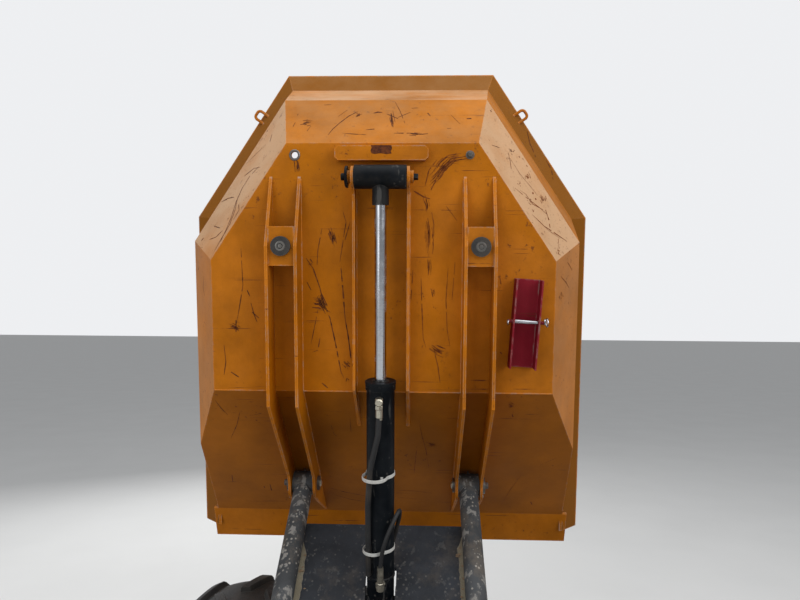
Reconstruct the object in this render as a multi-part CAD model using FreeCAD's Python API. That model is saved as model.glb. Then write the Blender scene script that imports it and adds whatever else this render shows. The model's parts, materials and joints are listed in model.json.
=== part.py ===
# Site dumper with a swivel skip, in millimetres. X forward, Y left, Z up, ground at Z = 0.
# Each half is drawn straight, with the swivel centre over X = Y = 0, and then set as parked:
# skip swivelled to the right and tipped, rear half turned a little about the centre joint.
# Last, everything moves so that the origin is under the middle of the whole machine's box.

import FreeCAD, Part
import math
import os

V = FreeCAD.Vector

# Parked pose, in degrees
SLEW_REST = -90.0
TIP_REST = 81.4
STEER_REST = -18.0
SLEW_STOP = 90.0
STEER_STOP = 33.0
ROPS_FOLD = 95.0
BONNET_OPEN = 60.0

# Wheels and axles
TYRE_R = 540.0
TYRE_WIDTH = 400.0
TRACK_HALF = 830.0
LUGS_PER_SIDE = 14
LUG_HEIGHT = 26.0
LUG_WIDTH = 50.0
LUG_SKEW = 84.0
LUG_INNER = 8.0
RIM_R = 265.0
RIM_T = 12.0
SHEET_T = 6.0
HUB_R = 95.0
STUB_R = 60.0
RUN_FIT = 0.05
FRONT_AXLE_X = 600.0
AXLE_R = 90.0
DISC_IN = 30.0

# Centre joint
PIVOT_X = -570.0
REAR_AXLE_X = PIVOT_X - 1200.0
PIN_R = 40.0
FRAME_LOW = TYRE_R + 100.0
TONGUE_LOW = FRAME_LOW
TONGUE_TOP = TONGUE_LOW + 160.0
EAR_T = 40.0
EAR_GAP = 4.0
EAR_R = 120.0

# Front frame and slew ring
FRAME_HALF = 260.0
NECK_HALF = 130.0
FRONT_END_X = 900.0
NECK_BACK_X = -420.0
NECK_FRONT_X = -180.0
NECK_LOW = FRAME_LOW - 140.0
DECK_Z = FRAME_LOW + 285.0
DECK_T = 25.0
RING_R = 400.0
RING_TOP = DECK_Z + 75.0
FACE_GAP = 0.5
FRAME_WALL = 15.0

# Cradle: rails, plate and tipping axis
TIP_X = 850.0
TIP_Z = RING_TOP + 550.0
RAIL_Y = 380.0
RAIL_R = 42.5
RAIL_BACK = -300.0
RAIL_Z = RING_TOP + 80.0
RAIL_SLOPE = 39.0
BOSS_R = 52.0
TIP_PIN_R = 25.0
PLATE_DROP = 45.0
PLATE_T = 12.0
PLATE_TOP_X = 735.0
SLOT_HALF = 62.0
SLOT_TOP_X = 584.0
SLOT_END_X = 190.0
TABLE_R = 390.0
TABLE_T = 36.0

# Skip shell, from the tipping axis: back, out and down
SKIP_T = 8.0
FLOOR_DROP = 318.0
DIAG_ANGLE = 34.2
RAMP_START = -516.0
RAMP_SLOPE = 37.3
SIDE_FRONT = 351.0
LIP_END = 421.0
LIP_END_C = 311.0
LIP_HALF = 908.0
# columns: height over the tipping axis, rear face, diagonal face, side face (distances outward)
SKIP_LEVELS = (
    (-FLOOR_DROP, 1499.0, 1152.0, 683.0),
    (-84.0, 1716.0, 1318.0, 833.0),
    (281.0, 1847.0, 1428.0, 886.0),
    (345.0, 1935.0, 1504.0, 974.0),
)
CORNER_HOLE_A = -1453.0
CORNER_HOLE_B = 341.0
CORNER_HOLE_R = 12.5

# Ribs, centre ribs, buffers, lock channel and loops under the skip
RIB_T = 12.0
RIB_GAP = 100.0
RIB_DEPTH = 100.0
RIB_REAR = -1370.0
RIB_FULL = -1100.0
RIB_WRAP_R = 70.0
BUFFER_R = 37.5
BUFFER_FACE = -420.0
BUFFER_PLATE_C = -405.0
BUFFER_PLATE_HALF = 75.0
SPINE_HALF = 100.0
SPINE_T = 10.0
SPINE_DEPTH = 62.0
SPINE_REAR = -1320.0
SPINE_FRONT = -330.0
HEADER_LENGTH = 360.0
HEADER_WIDTH = 56.0
HEADER_A = -1456.0
HEADER_T = 40.0
LOCK_A = -800.0
LOCK_B = -563.0
LOCK_LENGTH = 350.0
LOCK_WIDTH = 104.0
LOCK_DEPTH = 60.0
LOCK_T = 6.0
LOOP_R = 7.0
LOOP_HALF = 22.0
LOOP_OUT = 26.0
LOOP_BEND = 16.0
LOOP_BACK = 1075.0

# Tipping ram, placed from the tipping axis
RAM_FOOT_BACK = 320.0
RAM_FOOT_DROP = 394.0
EYE_A = -1360.0
EYE_C = -403.0
RAM_R = 55.0
RAM_BORE_R = 45.0
ROD_R = 22.5
GLAND_AT = 918.0
EYE_R = 45.0
EYE_HALF = 97.5
FOOT_EYE_R = 50.0
FOOT_EYE_HALF = RAM_R - 5.0
EAR_PLATE_T = 20.0
SIDE_GAP = 2.5

# Steering cylinder, from the centre joint
STEER_FRONT = (270.0, 230.0)
STEER_BACK = (-330.0, 230.0)
STEER_Z = FRAME_LOW - 95.0
STEER_EYE_R = 34.0
STEER_EYE_HALF = 24.0
STEER_BARREL_R = 32.0
STEER_ROD_R = 17.0
STEER_BARREL_LENGTH = 400.0
STEER_EAR_T = 12.0
STEER_PIN_R = 15.0

# Rear half
REAR_HALF = 300.0
REAR_FRONT_X = PIVOT_X - 440.0
REAR_LOW = FRAME_LOW
REAR_NOSE_LOW = NECK_LOW
REAR_STEP_X = REAR_FRONT_X - 490.0
REAR_TOP = REAR_LOW + 220.0
FLOOR_HALF = TRACK_HALF - TYRE_WIDTH / 2 - 30.0
FLOOR_T = 8.0
FLOOR_BACK_X = REAR_FRONT_X - 690.0
TANK_HALF_IN = REAR_HALF + 5.0
TANK_HALF_OUT = FLOOR_HALF - 10.0
TANK_LOW = REAR_TOP - 300.0
TANK_ROUND = 70.0
TANK_BACK_X = FLOOR_BACK_X + 30.0
TANK_FRONT_X = REAR_FRONT_X - 40.0
CONSOLE_FRONT_X = REAR_FRONT_X - 150.0
CONSOLE_BACK_X = CONSOLE_FRONT_X - 220.0
CONSOLE_TOP = REAR_TOP + 410.0
CONSOLE_HALF = 190.0
WHEEL_CENTRE = (CONSOLE_FRONT_X - 340.0, CONSOLE_TOP + 205.0)
WHEEL_R = 180.0
WHEEL_RIM_R = 14.0
COLUMN_R = 32.0
COLUMN_FOOT = (CONSOLE_FRONT_X - 110.0, CONSOLE_TOP - 126.0)
SEAT_BOX_FRONT_X = FLOOR_BACK_X + 10.0
SEAT_BOX_BACK_X = SEAT_BOX_FRONT_X - 395.0
SEAT_BOX_TOP = REAR_TOP + 370.0
SEAT_HALF = 245.0
SEAT_T = 105.0
SEAT_BACK_HEIGHT = 520.0
POST_SIZE = 80.0
POST_X = SEAT_BOX_BACK_X - POST_SIZE / 2 - 15.0
POST_Y = FLOOR_HALF - 90.0
FOLD_Z = REAR_TOP + 900.0
HOOP_TOP = FOLD_Z + 1020.0
POST_EAR_T = 10.0
HOOP_TUBE = POST_SIZE - 2 * POST_EAR_T - 2 * SIDE_GAP
BEACON_Y = 250.0
BEACON_LIFT = 22.0
HINGE_R = 14.0
HINGE_PIN_R = 7.0
HINGE_INNER = ((180.0, 240.0),)
HINGE_OUTER = ((155.0, 178.0), (242.0, 265.0))
FOLD_PIN_R = 12.0
BAY_FRONT_X = POST_X - POST_SIZE / 2 - 28.0
BAY_LENGTH = 592.0
BAY_BACK_X = BAY_FRONT_X - BAY_LENGTH
BAY_HALF = 430.0
BAY_SPLIT_Z = REAR_TOP + 100.0
BONNET_TOP = BAY_SPLIT_Z + 470.0
BONNET_SLOPE = 130.0
ENGINE_GAP = 100.0
ENGINE_HALF = BAY_HALF - 200.0
ENGINE_TOP = BONNET_TOP - 185.0
WEIGHT_BACK_X = BAY_BACK_X - 50.0
WEIGHT_FRONT_X = BAY_BACK_X + 200.0
REAR_END_X = WEIGHT_FRONT_X
WEIGHT_LOW = REAR_TOP - 340.0
WEIGHT_TOP = REAR_TOP - 60.0
JAW_BORE_R = 16.0
JAW_T = 25.0
JAW_GAP = 70.0
JAW_REACH = 110.0
JAW_Z = WEIGHT_LOW + 100.0
GUARD_GAP = 48.0
GUARD_T = 5.0
GUARD_IN = FLOOR_HALF + 0.3
GUARD_OUT = TRACK_HALF + 180.0
GUARD_ANGLE = 52.0


def box(x0, x1, y0, y1, z0, z1):
    return Part.makeBox(x1 - x0, y1 - y0, z1 - z0, V(x0, y0, z0))


def rod(start, end, radius):
    """A round bar from one point to another."""
    line = end - start
    return Part.makeCylinder(radius, line.Length, start, line)


def plate(points, plane, low, high):
    """A flat plate: its outline in a plane ('xz', 'xy' or 'yz'), from low to high across it."""
    place = {"xz": lambda p: V(p[0], low, p[1]), "xy": lambda p: V(p[0], p[1], low),
             "yz": lambda p: V(low, p[0], p[1])}[plane]
    across = {"xz": V(0, 1, 0), "xy": V(0, 0, 1), "yz": V(1, 0, 0)}[plane]
    corners = [place(p) for p in points]
    outline = Part.makePolygon(corners + corners[:1])
    return Part.Face(outline).extrude(across * (high - low))


def turned(profile, centre):
    """A body turned about the Y axis through centre, from (y, radius) points."""
    corners = [centre + V(0, y, r) for y, r in profile]
    outline = Part.makePolygon(corners + corners[:1])
    return Part.Face(outline).revolve(centre, V(0, 1, 0), 360)


def joined(shapes):
    """One body from shapes that touch, with split faces merged."""
    if len(shapes) == 1:
        return shapes[0]
    return shapes[0].multiFuse(shapes[1:]).removeSplitter()


def both_sides(shape):
    """The shape and its mirror image across the machine's centre plane."""
    return [shape, shape.mirror(V(0, 0, 0), V(0, 1, 0))]


def together(shapes):
    """Solids that don't touch, kept in one sub-part."""
    return Part.makeCompound([s for shape in shapes for s in shape.Solids])


def bent_tube(points, radius, bend):
    """A hose: straight runs joined by tangent arcs of the bend radius."""
    edges = []
    last = points[0]
    for before, corner, after in zip(points, points[1:], points[2:]):
        back = (before - corner).normalize()
        ahead = (after - corner).normalize()
        half = back.getAngle(ahead) / 2
        cut = bend / math.tan(half)
        start = corner + back * cut
        end = corner + ahead * cut
        middle_line = (back + ahead).normalize()
        middle = corner + middle_line * (bend / math.sin(half) - bend)
        edges.append(Part.LineSegment(last, start).toShape())
        edges.append(Part.Arc(start, middle, end).toShape())
        last = end
    edges.append(Part.LineSegment(last, points[-1]).toShape())
    path = Part.Wire(edges)
    ring = Part.Wire(Part.makeCircle(radius, points[0], points[1] - points[0]))
    return path.makePipeShell([ring], True, False)


# Wheels
def faceted_ring(profile, count):
    """A ring of flat facets about the Y axis, from (y, radius) points; the facets touch the radii."""
    grow = 1 / math.cos(math.pi / count)
    turns = [2 * math.pi * (i + 0.5) / count for i in range(count + 1)]
    rings = [[V(r * grow * math.sin(t), y, r * grow * math.cos(t)) for t in turns]
             for y, r in profile]
    faces = []
    for one, two in zip(rings, rings[1:] + rings[:1]):
        for i in range(count):
            corners = [one[i], one[i + 1], two[i + 1], two[i]]
            faces.append(Part.Face(Part.makePolygon(corners + corners[:1])))
    ring = Part.Solid(Part.Shell(faces))
    if ring.Volume < 0:
        ring.reverse()
    return ring


def tyre():
    """A tyre about the origin: a faceted carcass with two staggered rows of slanting lugs."""
    half = TYRE_WIDTH / 2
    crown = TYRE_R - LUG_HEIGHT
    side_rows = [(half - 45, RIM_R), (half, RIM_R + 130), (half - 12, crown - 52),
                 (half - 55, crown - 4)]
    profile = [(-y, r) for y, r in side_rows] + side_rows[::-1]
    width = LUG_WIDTH / 2
    skew = LUG_SKEW / 2
    seen = plate([(-width - skew, LUG_INNER), (width - skew, LUG_INNER), (width + skew, half),
                  (-width + skew, half)], "xy", crown - 100, TYRE_R)
    section = plate([(LUG_INNER - 2, crown - 60), (LUG_INNER - 2, TYRE_R - 2), (half - 45, TYRE_R - 2),
                     (half - 2, crown - 56), (half - 30, crown - 76)], "yz", -half, half)
    lug = seen.common(section)
    rows = (lug, lug.mirror(V(0, 0, 0), V(0, 1, 0)))
    pitch = 360.0 / LUGS_PER_SIDE
    lugs = []
    for i in range(LUGS_PER_SIDE):
        for stagger, row in enumerate(rows):
            piece = row.copy()
            piece.rotate(V(0, 0, 0), V(0, 1, 0), (i + stagger / 2) * pitch)
            lugs.append(piece)
    return joined([faceted_ring(profile, 2 * LUGS_PER_SIDE)] + lugs)


def rim(side):
    """A drop-centre rim with a dished disc and hub, the disc set in from the outer side."""
    half = TYRE_WIDTH / 2 - 45
    out = side
    barrel = turned([(-half, RIM_R), (-half, RIM_R - RIM_T), (half, RIM_R - RIM_T), (half, RIM_R)],
                    V(0, 0, 0))
    disc_y = out * (half - DISC_IN)
    disc = turned([(disc_y, STUB_R + RUN_FIT), (disc_y, HUB_R + 20), (disc_y - out * 30, HUB_R + 55),
                   (disc_y - out * 40, RIM_R - RIM_T), (disc_y - out * 54, RIM_R - RIM_T),
                   (disc_y - out * 46, HUB_R + 50), (disc_y - out * 16, HUB_R + 15),
                   (disc_y - out * 16, STUB_R + RUN_FIT)], V(0, 0, 0))
    hub = turned([(disc_y + out * 20, STUB_R + RUN_FIT), (disc_y + out * 20, HUB_R - 10),
                  (disc_y + out * 5, HUB_R), (disc_y - out * 90, HUB_R),
                  (disc_y - out * 90, STUB_R + RUN_FIT)], V(0, 0, 0))
    cap = turned([(disc_y + out * 20, 0), (disc_y + out * 34, 0), (disc_y + out * 34, HUB_R - 40),
                  (disc_y + out * 20, HUB_R - 25)], V(0, 0, 0))
    return joined([barrel, disc, hub, cap])


def axle(pads):
    """An axle beam about the origin: stubs in the hubs, end flanges, motor housing and pads."""
    hub_in = TRACK_HALF + TYRE_WIDTH / 2 - 45 - DISC_IN - 90
    stub_end = hub_in + 90 + 18
    beam = rod(V(0, -hub_in + 5, 0), V(0, hub_in - 5, 0), AXLE_R)
    stubs = rod(V(0, -stub_end, 0), V(0, stub_end, 0), STUB_R)
    housing = turned([(-150, 0), (-150, AXLE_R), (-90, AXLE_R + 45), (90, AXLE_R + 45),
                      (150, AXLE_R), (150, 0)], V(0, 0, 0))
    flanges = both_sides(rod(V(0, hub_in - 75, 0), V(0, hub_in - 45, 0), AXLE_R + 25))
    seats = both_sides(box(-80, 80, 170, 250, 20, pads))
    return joined([beam, stubs, housing] + flanges + seats)


# Front half
def front_frame():
    main = box(NECK_FRONT_X, FRONT_END_X, -FRAME_HALF, FRAME_HALF, FRAME_LOW, DECK_Z - DECK_T)
    inside = box(NECK_FRONT_X + FRAME_WALL, FRONT_END_X - FRAME_WALL, -FRAME_HALF + FRAME_WALL,
                 FRAME_HALF - FRAME_WALL, FRAME_LOW - 1, DECK_Z - DECK_T - FRAME_WALL)
    neck = box(NECK_BACK_X, NECK_FRONT_X + FRAME_WALL, -NECK_HALF, NECK_HALF, NECK_LOW,
               DECK_Z - DECK_T)
    tongue = plate([(PIVOT_X, -85), (NECK_BACK_X, -110), (NECK_BACK_X, 110), (PIVOT_X, 85)],
                   "xy", TONGUE_LOW, TONGUE_TOP)
    nose = Part.makeCylinder(85, TONGUE_TOP - TONGUE_LOW, V(PIVOT_X, 0, TONGUE_LOW))
    deck = Part.makeCylinder(RING_R + 25, DECK_T, V(0, 0, DECK_Z - DECK_T))
    pads = both_sides(box(FRONT_AXLE_X - 100, FRONT_AXLE_X + 100, 160, FRAME_HALF, FRAME_LOW,
                          FRAME_LOW + 40))
    bumper = box(FRONT_END_X, FRONT_END_X + 20, -FRAME_HALF - 60, FRAME_HALF + 60, FRAME_LOW,
                 FRAME_LOW + 180)
    ears = [steer_ear(V(PIVOT_X + STEER_FRONT[0], STEER_FRONT[1], 0), top, NECK_HALF - 5)
            for top in (False, True)]
    pin_at = V(PIVOT_X + STEER_FRONT[0], STEER_FRONT[1], STEER_Z)
    reach = V(0, 0, STEER_EYE_HALF + SIDE_GAP + STEER_EAR_T + 6)
    steer_pin = rod(pin_at - reach, pin_at + reach, STEER_PIN_R)
    body = joined([main.cut(inside), neck, tongue, nose, deck, bumper, steer_pin] + pads + ears)
    bore = Part.makeCylinder(PIN_R + RUN_FIT, 400, V(PIVOT_X, 0, TONGUE_LOW - 100))
    return body.cut(bore)


def steer_ear(pin, top, root_y):
    """One plate beside the steering cylinder's eye, from a wall at root_y out to the pin."""
    gap = STEER_EYE_HALF + SIDE_GAP
    low = STEER_Z + gap if top else STEER_Z - gap - STEER_EAR_T
    tip = Part.makeCylinder(STEER_EYE_R + 6, STEER_EAR_T, V(pin.x, pin.y, low))
    arm = box(pin.x - STEER_EYE_R - 6, pin.x + STEER_EYE_R + 6, root_y, pin.y, low,
              low + STEER_EAR_T)
    return joined([tip, arm])


def slew_ring():
    ring = Part.makeCylinder(RING_R, RING_TOP - DECK_Z, V(0, 0, DECK_Z))
    bore = Part.makeCylinder(RING_R - 110, RING_TOP - DECK_Z + 2, V(0, 0, DECK_Z - 1))
    return ring.cut(bore)


# Cradle, drawn facing forward
def rail_kink_x():
    """Where the level part of a rail meets the part that climbs to the tipping axis."""
    return TIP_X - (TIP_Z - RAIL_Z) / math.tan(math.radians(RAIL_SLOPE))


def cradle_rails():
    kink = V(rail_kink_x(), RAIL_Y, RAIL_Z)
    back = V(RAIL_BACK, RAIL_Y, RAIL_Z)
    axis = V(TIP_X, RAIL_Y, TIP_Z)
    level = rod(back, kink, RAIL_R)
    knee = Part.makeSphere(RAIL_R, kink)
    climb = rod(kink, axis, RAIL_R)
    half = RIB_GAP / 2 - SIDE_GAP
    boss = rod(axis - V(0, half, 0), axis + V(0, half, 0), BOSS_R)
    bore = rod(axis - V(0, half + 1, 0), axis + V(0, half + 1, 0), TIP_PIN_R + RUN_FIT)
    rail = joined([level, knee, climb, boss]).cut(bore)
    return together(both_sides(rail))


def cradle_plate():
    """Sloping plate between the rails with the ram's slot, level bed, table and ram ears."""
    slope = math.radians(RAIL_SLOPE)
    kink = rail_kink_x()
    drop = PLATE_DROP / math.cos(slope)

    def slope_z(x):
        return RAIL_Z + (x - kink) * math.tan(slope) - drop

    bed_top = RING_TOP + FACE_GAP + TABLE_T
    foot_x = kink + (bed_top - RAIL_Z + drop) / math.tan(slope)
    thick = PLATE_T / math.cos(slope)
    outline = [(RAIL_BACK, bed_top), (foot_x, bed_top), (PLATE_TOP_X, slope_z(PLATE_TOP_X)),
               (PLATE_TOP_X, slope_z(PLATE_TOP_X) - thick), (foot_x + 8, bed_top - PLATE_T),
               (RAIL_BACK, bed_top - PLATE_T)]
    half = RAIL_Y - RAIL_R * 0.75
    sheet = plate(outline, "xz", -half, half)
    rail_room = [tube.copy() for tube in cradle_rails().Solids]
    web = [box(RAIL_BACK + 2, foot_x - 20, y - 6, y + 6, bed_top - 2, RAIL_Z - RAIL_R * 0.6)
           for y in (-RAIL_Y, RAIL_Y)]
    shelf = both_sides(box(RAIL_BACK + 2, foot_x - 20, half - 5, RAIL_Y + 20, bed_top - PLATE_T,
                           bed_top))
    table = Part.makeCylinder(TABLE_R, TABLE_T, V(0, 0, RING_TOP + FACE_GAP))
    foot = V(TIP_X - RAM_FOOT_BACK, 0, TIP_Z - RAM_FOOT_DROP)
    ear_in = RAM_R + 2 * SIDE_GAP
    ear_low = bed_top - PLATE_T
    ear = plate([(foot.x - 110, ear_low), (foot.x + 90, ear_low), (foot.x + 60, foot.z),
                 (foot.x - 60, foot.z)], "xz", ear_in, ear_in + EAR_PLATE_T)
    eye = rod(V(foot.x, ear_in, foot.z), V(foot.x, ear_in + EAR_PLATE_T, foot.z), 60)
    under = box(foot_x - 60, foot.x + 90, -ear_in - EAR_PLATE_T, ear_in + EAR_PLATE_T,
                ear_low - 4, ear_low + 8)
    slot = box(SLOT_END_X, SLOT_TOP_X, -SLOT_HALF, SLOT_HALF, bed_top, slope_z(PLATE_TOP_X))
    pin = rod(V(foot.x, -ear_in - EAR_PLATE_T - 12, foot.z), V(foot.x, ear_in + EAR_PLATE_T + 12,
              foot.z), TIP_PIN_R)
    body = joined([sheet, table] + web + shelf).cut(slot)
    body = joined([body, under] + both_sides(joined([ear, eye])))
    body = joined([body, pin])
    for tube in rail_room:
        body = body.cut(tube)
    return body


# Skip, drawn from its tipping axis: X forward to the lip, Y left, Z up
def skip_outline(row_low, row_high, height, inset, front):
    """The shell's outline at a height, on the planes through two rows of the level table."""
    angle = math.radians(DIAG_ANGLE)
    share = (height - row_low[0]) / (row_high[0] - row_low[0])
    rear, diagonal, side = [low + (high - low) * share - inset * math.hypot(
        1, (high - low) / (row_high[0] - row_low[0])) for low, high in zip(row_low[1:], row_high[1:])]
    rear_half = (diagonal - rear * math.sin(angle)) / math.cos(angle)
    corner = -(diagonal - side * math.cos(angle)) / math.sin(angle)
    points = [(front, -side), (front, side), (corner, side), (-rear, rear_half),
              (-rear, -rear_half), (corner, -side)]
    corners = [V(x, y, height) for x, y in points]
    return Part.makePolygon(corners + corners[:1])


def flared(row_low, row_high, low, high, inset=0.0, front=SIDE_FRONT):
    """A solid between two heights on the planes of two rows of the level table."""
    wires = [skip_outline(row_low, row_high, z, inset, front) for z in (low, high)]
    return Part.makeLoft(wires, True, True)


def under_ramp(inset):
    """What lies in front of and below the ramp's plane, raised by inset."""
    slope = math.radians(RAMP_SLOPE)
    start = V(RAMP_START - inset * math.sin(slope), 0, -FLOOR_DROP + inset * math.cos(slope))
    back = start - V(math.cos(slope), 0, math.sin(slope)) * 400
    end = start + V(math.cos(slope), 0, math.sin(slope)) * 1600
    outline = [(back.x, back.z), (end.x, end.z), (end.x, back.z - 50)]
    return plate(outline, "xz", -1200, 1200)


def ramp_z(x):
    return -FLOOR_DROP + (x - RAMP_START) * math.tan(math.radians(RAMP_SLOPE))


def ramp_end():
    """Where the ramp meets the lip, at the foot of the upright rim band."""
    return RAMP_START + (SKIP_LEVELS[2][0] - 9 + FLOOR_DROP) / math.tan(math.radians(RAMP_SLOPE))


def skip_shell():
    floor, fold, top, rim_edge = SKIP_LEVELS
    outer = flared(floor, fold, floor[0], top[0]).common(flared(fold, top, floor[0], top[0]))
    outer = outer.cut(under_ramp(0))
    inner = flared(floor, fold, floor[0] + SKIP_T, top[0] + 1, SKIP_T, SIDE_FRONT + 1)
    inner = inner.common(flared(fold, top, floor[0] + SKIP_T, top[0] + 1, SKIP_T, SIDE_FRONT + 1))
    inner = inner.cut(under_ramp(SKIP_T))
    flange = flared(top, rim_edge, top[0], rim_edge[0])
    flange = flange.cut(flared(top, rim_edge, top[0] - 1, rim_edge[0] + 1, SKIP_T, SIDE_FRONT + 1))
    end = ramp_end()
    lip = plate([(end, top[0] - 9), (LIP_END, LIP_END_C), (LIP_END, LIP_END_C + SKIP_T),
                 (end - 6, top[0] + 1)], "xz", -LIP_HALF, LIP_HALF)
    cheeks = both_sides(plate([(end - 30, top[0] - 30), (end, top[0] - 9),
                               (LIP_END, LIP_END_C), (SIDE_FRONT, rim_edge[0] - 30),
                               (end - 30, top[0] + 5)], "xz", top[3] - SKIP_T, top[3]))
    holes = [Part.makeCylinder(CORNER_HOLE_R, 40, V(CORNER_HOLE_A, y, -FLOOR_DROP - 20))
             for y in (-CORNER_HOLE_B, CORNER_HOLE_B)]
    body = joined([outer.cut(inner), flange, lip] + cheeks)
    for hole in holes:
        body = body.cut(hole)
    return body


def lifting_loops():
    """Two round-bar loops bent over and welded on the diagonal rims."""
    angle = math.radians(DIAG_ANGLE)
    edge = SKIP_LEVELS[3]
    middle = V(-edge[2] * math.sin(angle), edge[2] * math.cos(angle), edge[0] - 20)
    along = V(math.cos(angle), math.sin(angle), 0)
    middle = middle - along * LOOP_BACK
    outward = V(-math.sin(angle), math.cos(angle), 0)
    feet = [middle + along * s * LOOP_HALF - outward * 40 for s in (-1, 1)]
    heads = [middle + along * s * LOOP_HALF + outward * LOOP_OUT for s in (-1, 1)]
    loop = bent_tube([feet[0], heads[0], heads[1], feet[1]], LOOP_R, LOOP_BEND)
    floor, fold, top, rim_edge = SKIP_LEVELS
    rim = flared(top, rim_edge, top[0], rim_edge[0])
    return together(both_sides(loop.cut(rim)))


def rib_places():
    """The inner faces' places of a rib pair, one each side of a rail."""
    near = RAIL_Y - RIB_GAP / 2
    far = RAIL_Y + RIB_GAP / 2
    return ((near - RIB_T, near), (far, far + RIB_T))


def skip_ribs():
    """Pairs of plates that straddle each rail, wrap the tipping axis and carry the buffers."""
    slope = math.tan(math.radians(RAIL_SLOPE))
    low = -FLOOR_DROP - RIB_DEPTH
    lift = 25 / math.cos(math.radians(RAIL_SLOPE))
    knee = (low + lift) / slope
    front = ramp_end() - 10
    outline = [(RIB_REAR, -FLOOR_DROP), (RIB_FULL, low), (knee, low), (-60, -60 * slope - lift),
               (40, -52), (front - 155, ramp_z(front - 155) - 130), (front, ramp_z(front)),
               (RAMP_START, -FLOOR_DROP)]
    solids = []
    for near, far in rib_places():
        rib = plate(outline, "xz", near, far)
        wrap = rod(V(0, near, 0), V(0, far, 0), RIB_WRAP_R)
        hole = rod(V(0, near - 1, 0), V(0, far + 1, 0), TIP_PIN_R)
        solids.append(joined([rib, wrap]).cut(under_skip()).cut(hole))
    near = RAIL_Y - RIB_GAP / 2
    shelf = box(RIB_FULL - BUFFER_PLATE_HALF, RIB_FULL + BUFFER_PLATE_HALF, near, near + RIB_GAP,
                BUFFER_PLATE_C, BUFFER_PLATE_C + 10)
    return together(both_sides(joined(solids + [shelf])))


def under_skip():
    """The shell's outside as one block, to trim what is welded under it."""
    floor, fold, top, rim_edge = SKIP_LEVELS
    block = flared(floor, fold, floor[0], top[0]).common(flared(fold, top, floor[0], top[0]))
    return block.cut(under_ramp(0))


def skip_spine():
    """Centre ribs that flank the ram, the clevis lugs at its eye and the header bar."""
    low = -FLOOR_DROP - SPINE_DEPTH
    outline = [(SPINE_REAR, -FLOOR_DROP), (SPINE_REAR + 20, low), (RAMP_START - 20, low),
               (SPINE_FRONT, ramp_z(SPINE_FRONT)), (RAMP_START, -FLOOR_DROP)]
    rib = plate(outline, "xz", SPINE_HALF, SPINE_HALF + SPINE_T)
    lug = plate([(EYE_A - 52, -FLOOR_DROP), (EYE_A - 40, EYE_C), (EYE_A + 40, EYE_C),
                 (EYE_A + 75, low + 10), (EYE_A + 75, -FLOOR_DROP)], "xz", SPINE_HALF,
                SPINE_HALF + SPINE_T)
    tip = rod(V(EYE_A, SPINE_HALF, EYE_C), V(EYE_A, SPINE_HALF + SPINE_T, EYE_C), 40)
    head = rod(V(EYE_A, SPINE_HALF + SPINE_T, EYE_C), V(EYE_A, SPINE_HALF + SPINE_T + 14, EYE_C), 24)
    header = plate(rounded_bar(HEADER_A, 0, HEADER_WIDTH, HEADER_LENGTH), "xy",
                   -FLOOR_DROP - HEADER_T, -FLOOR_DROP)
    return together(both_sides(joined([rib, lug, tip, head])) + [header])


def rounded_bar(x, y, width, length):
    """Outline of a bar along Y with cut corners."""
    a = width / 2
    b = length / 2
    c = a * 0.45
    return [(x - a + c, y - b), (x + a - c, y - b), (x + a, y - b + c), (x + a, y + b - c),
            (x + a - c, y + b), (x - a + c, y + b), (x - a, y + b - c), (x - a, y - b + c)]


def tip_pins():
    """The two tipping pins, with a bolted head outside each outer rib."""
    near = RAIL_Y - RIB_GAP / 2 - RIB_T
    far = RAIL_Y + RIB_GAP / 2 + RIB_T
    pin = joined([rod(V(0, near, 0), V(0, far, 0), TIP_PIN_R),
                  rod(V(0, far, 0), V(0, far + 14, 0), TIP_PIN_R + 12),
                  rod(V(0, near - 10, 0), V(0, near, 0), TIP_PIN_R + 8)])
    return together(both_sides(pin))


def rest_buffers():
    """Round rubber buffers under the rib shelves, each with its bolt head."""
    face = BUFFER_FACE
    disc = Part.makeCylinder(BUFFER_R, BUFFER_PLATE_C - face, V(RIB_FULL, RAIL_Y, face))
    return together(both_sides(disc))


def ram_lock():
    """The U channel that locks the raised ram, stowed beside the ribs with its pin."""
    length = LOCK_LENGTH / 2
    half = LOCK_WIDTH / 2
    base = -FLOOR_DROP
    outer = box(-length, length, -half, half, base - LOCK_DEPTH, base)
    inner = box(-length - 1, length + 1, -half + LOCK_T, half - LOCK_T, base - LOCK_DEPTH - 1,
                base - LOCK_T)
    pin = rod(V(-10, -half - 22, base - LOCK_DEPTH + 20), V(-10, half + 16, base - LOCK_DEPTH + 20),
              7)
    body = joined([outer.cut(inner), pin])
    body.rotate(V(0, 0, 0), V(0, 0, 1), 3.5)
    body.translate(V(LOCK_A, LOCK_B, 0))
    return body


# Tipping ram, drawn standing up from its foot; its hose side looks to -X
def ram_length():
    foot = V(-RAM_FOOT_BACK, 0, -RAM_FOOT_DROP)
    return (tipped_point(EYE_A, EYE_C) - foot).Length


def tipped_point(a, c):
    """A point on the raised skip, from the tipping axis, in the cradle's plane."""
    turn = math.radians(TIP_REST)
    return V(a * math.cos(turn) + c * math.sin(turn), 0, -a * math.sin(turn) + c * math.cos(turn))


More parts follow.
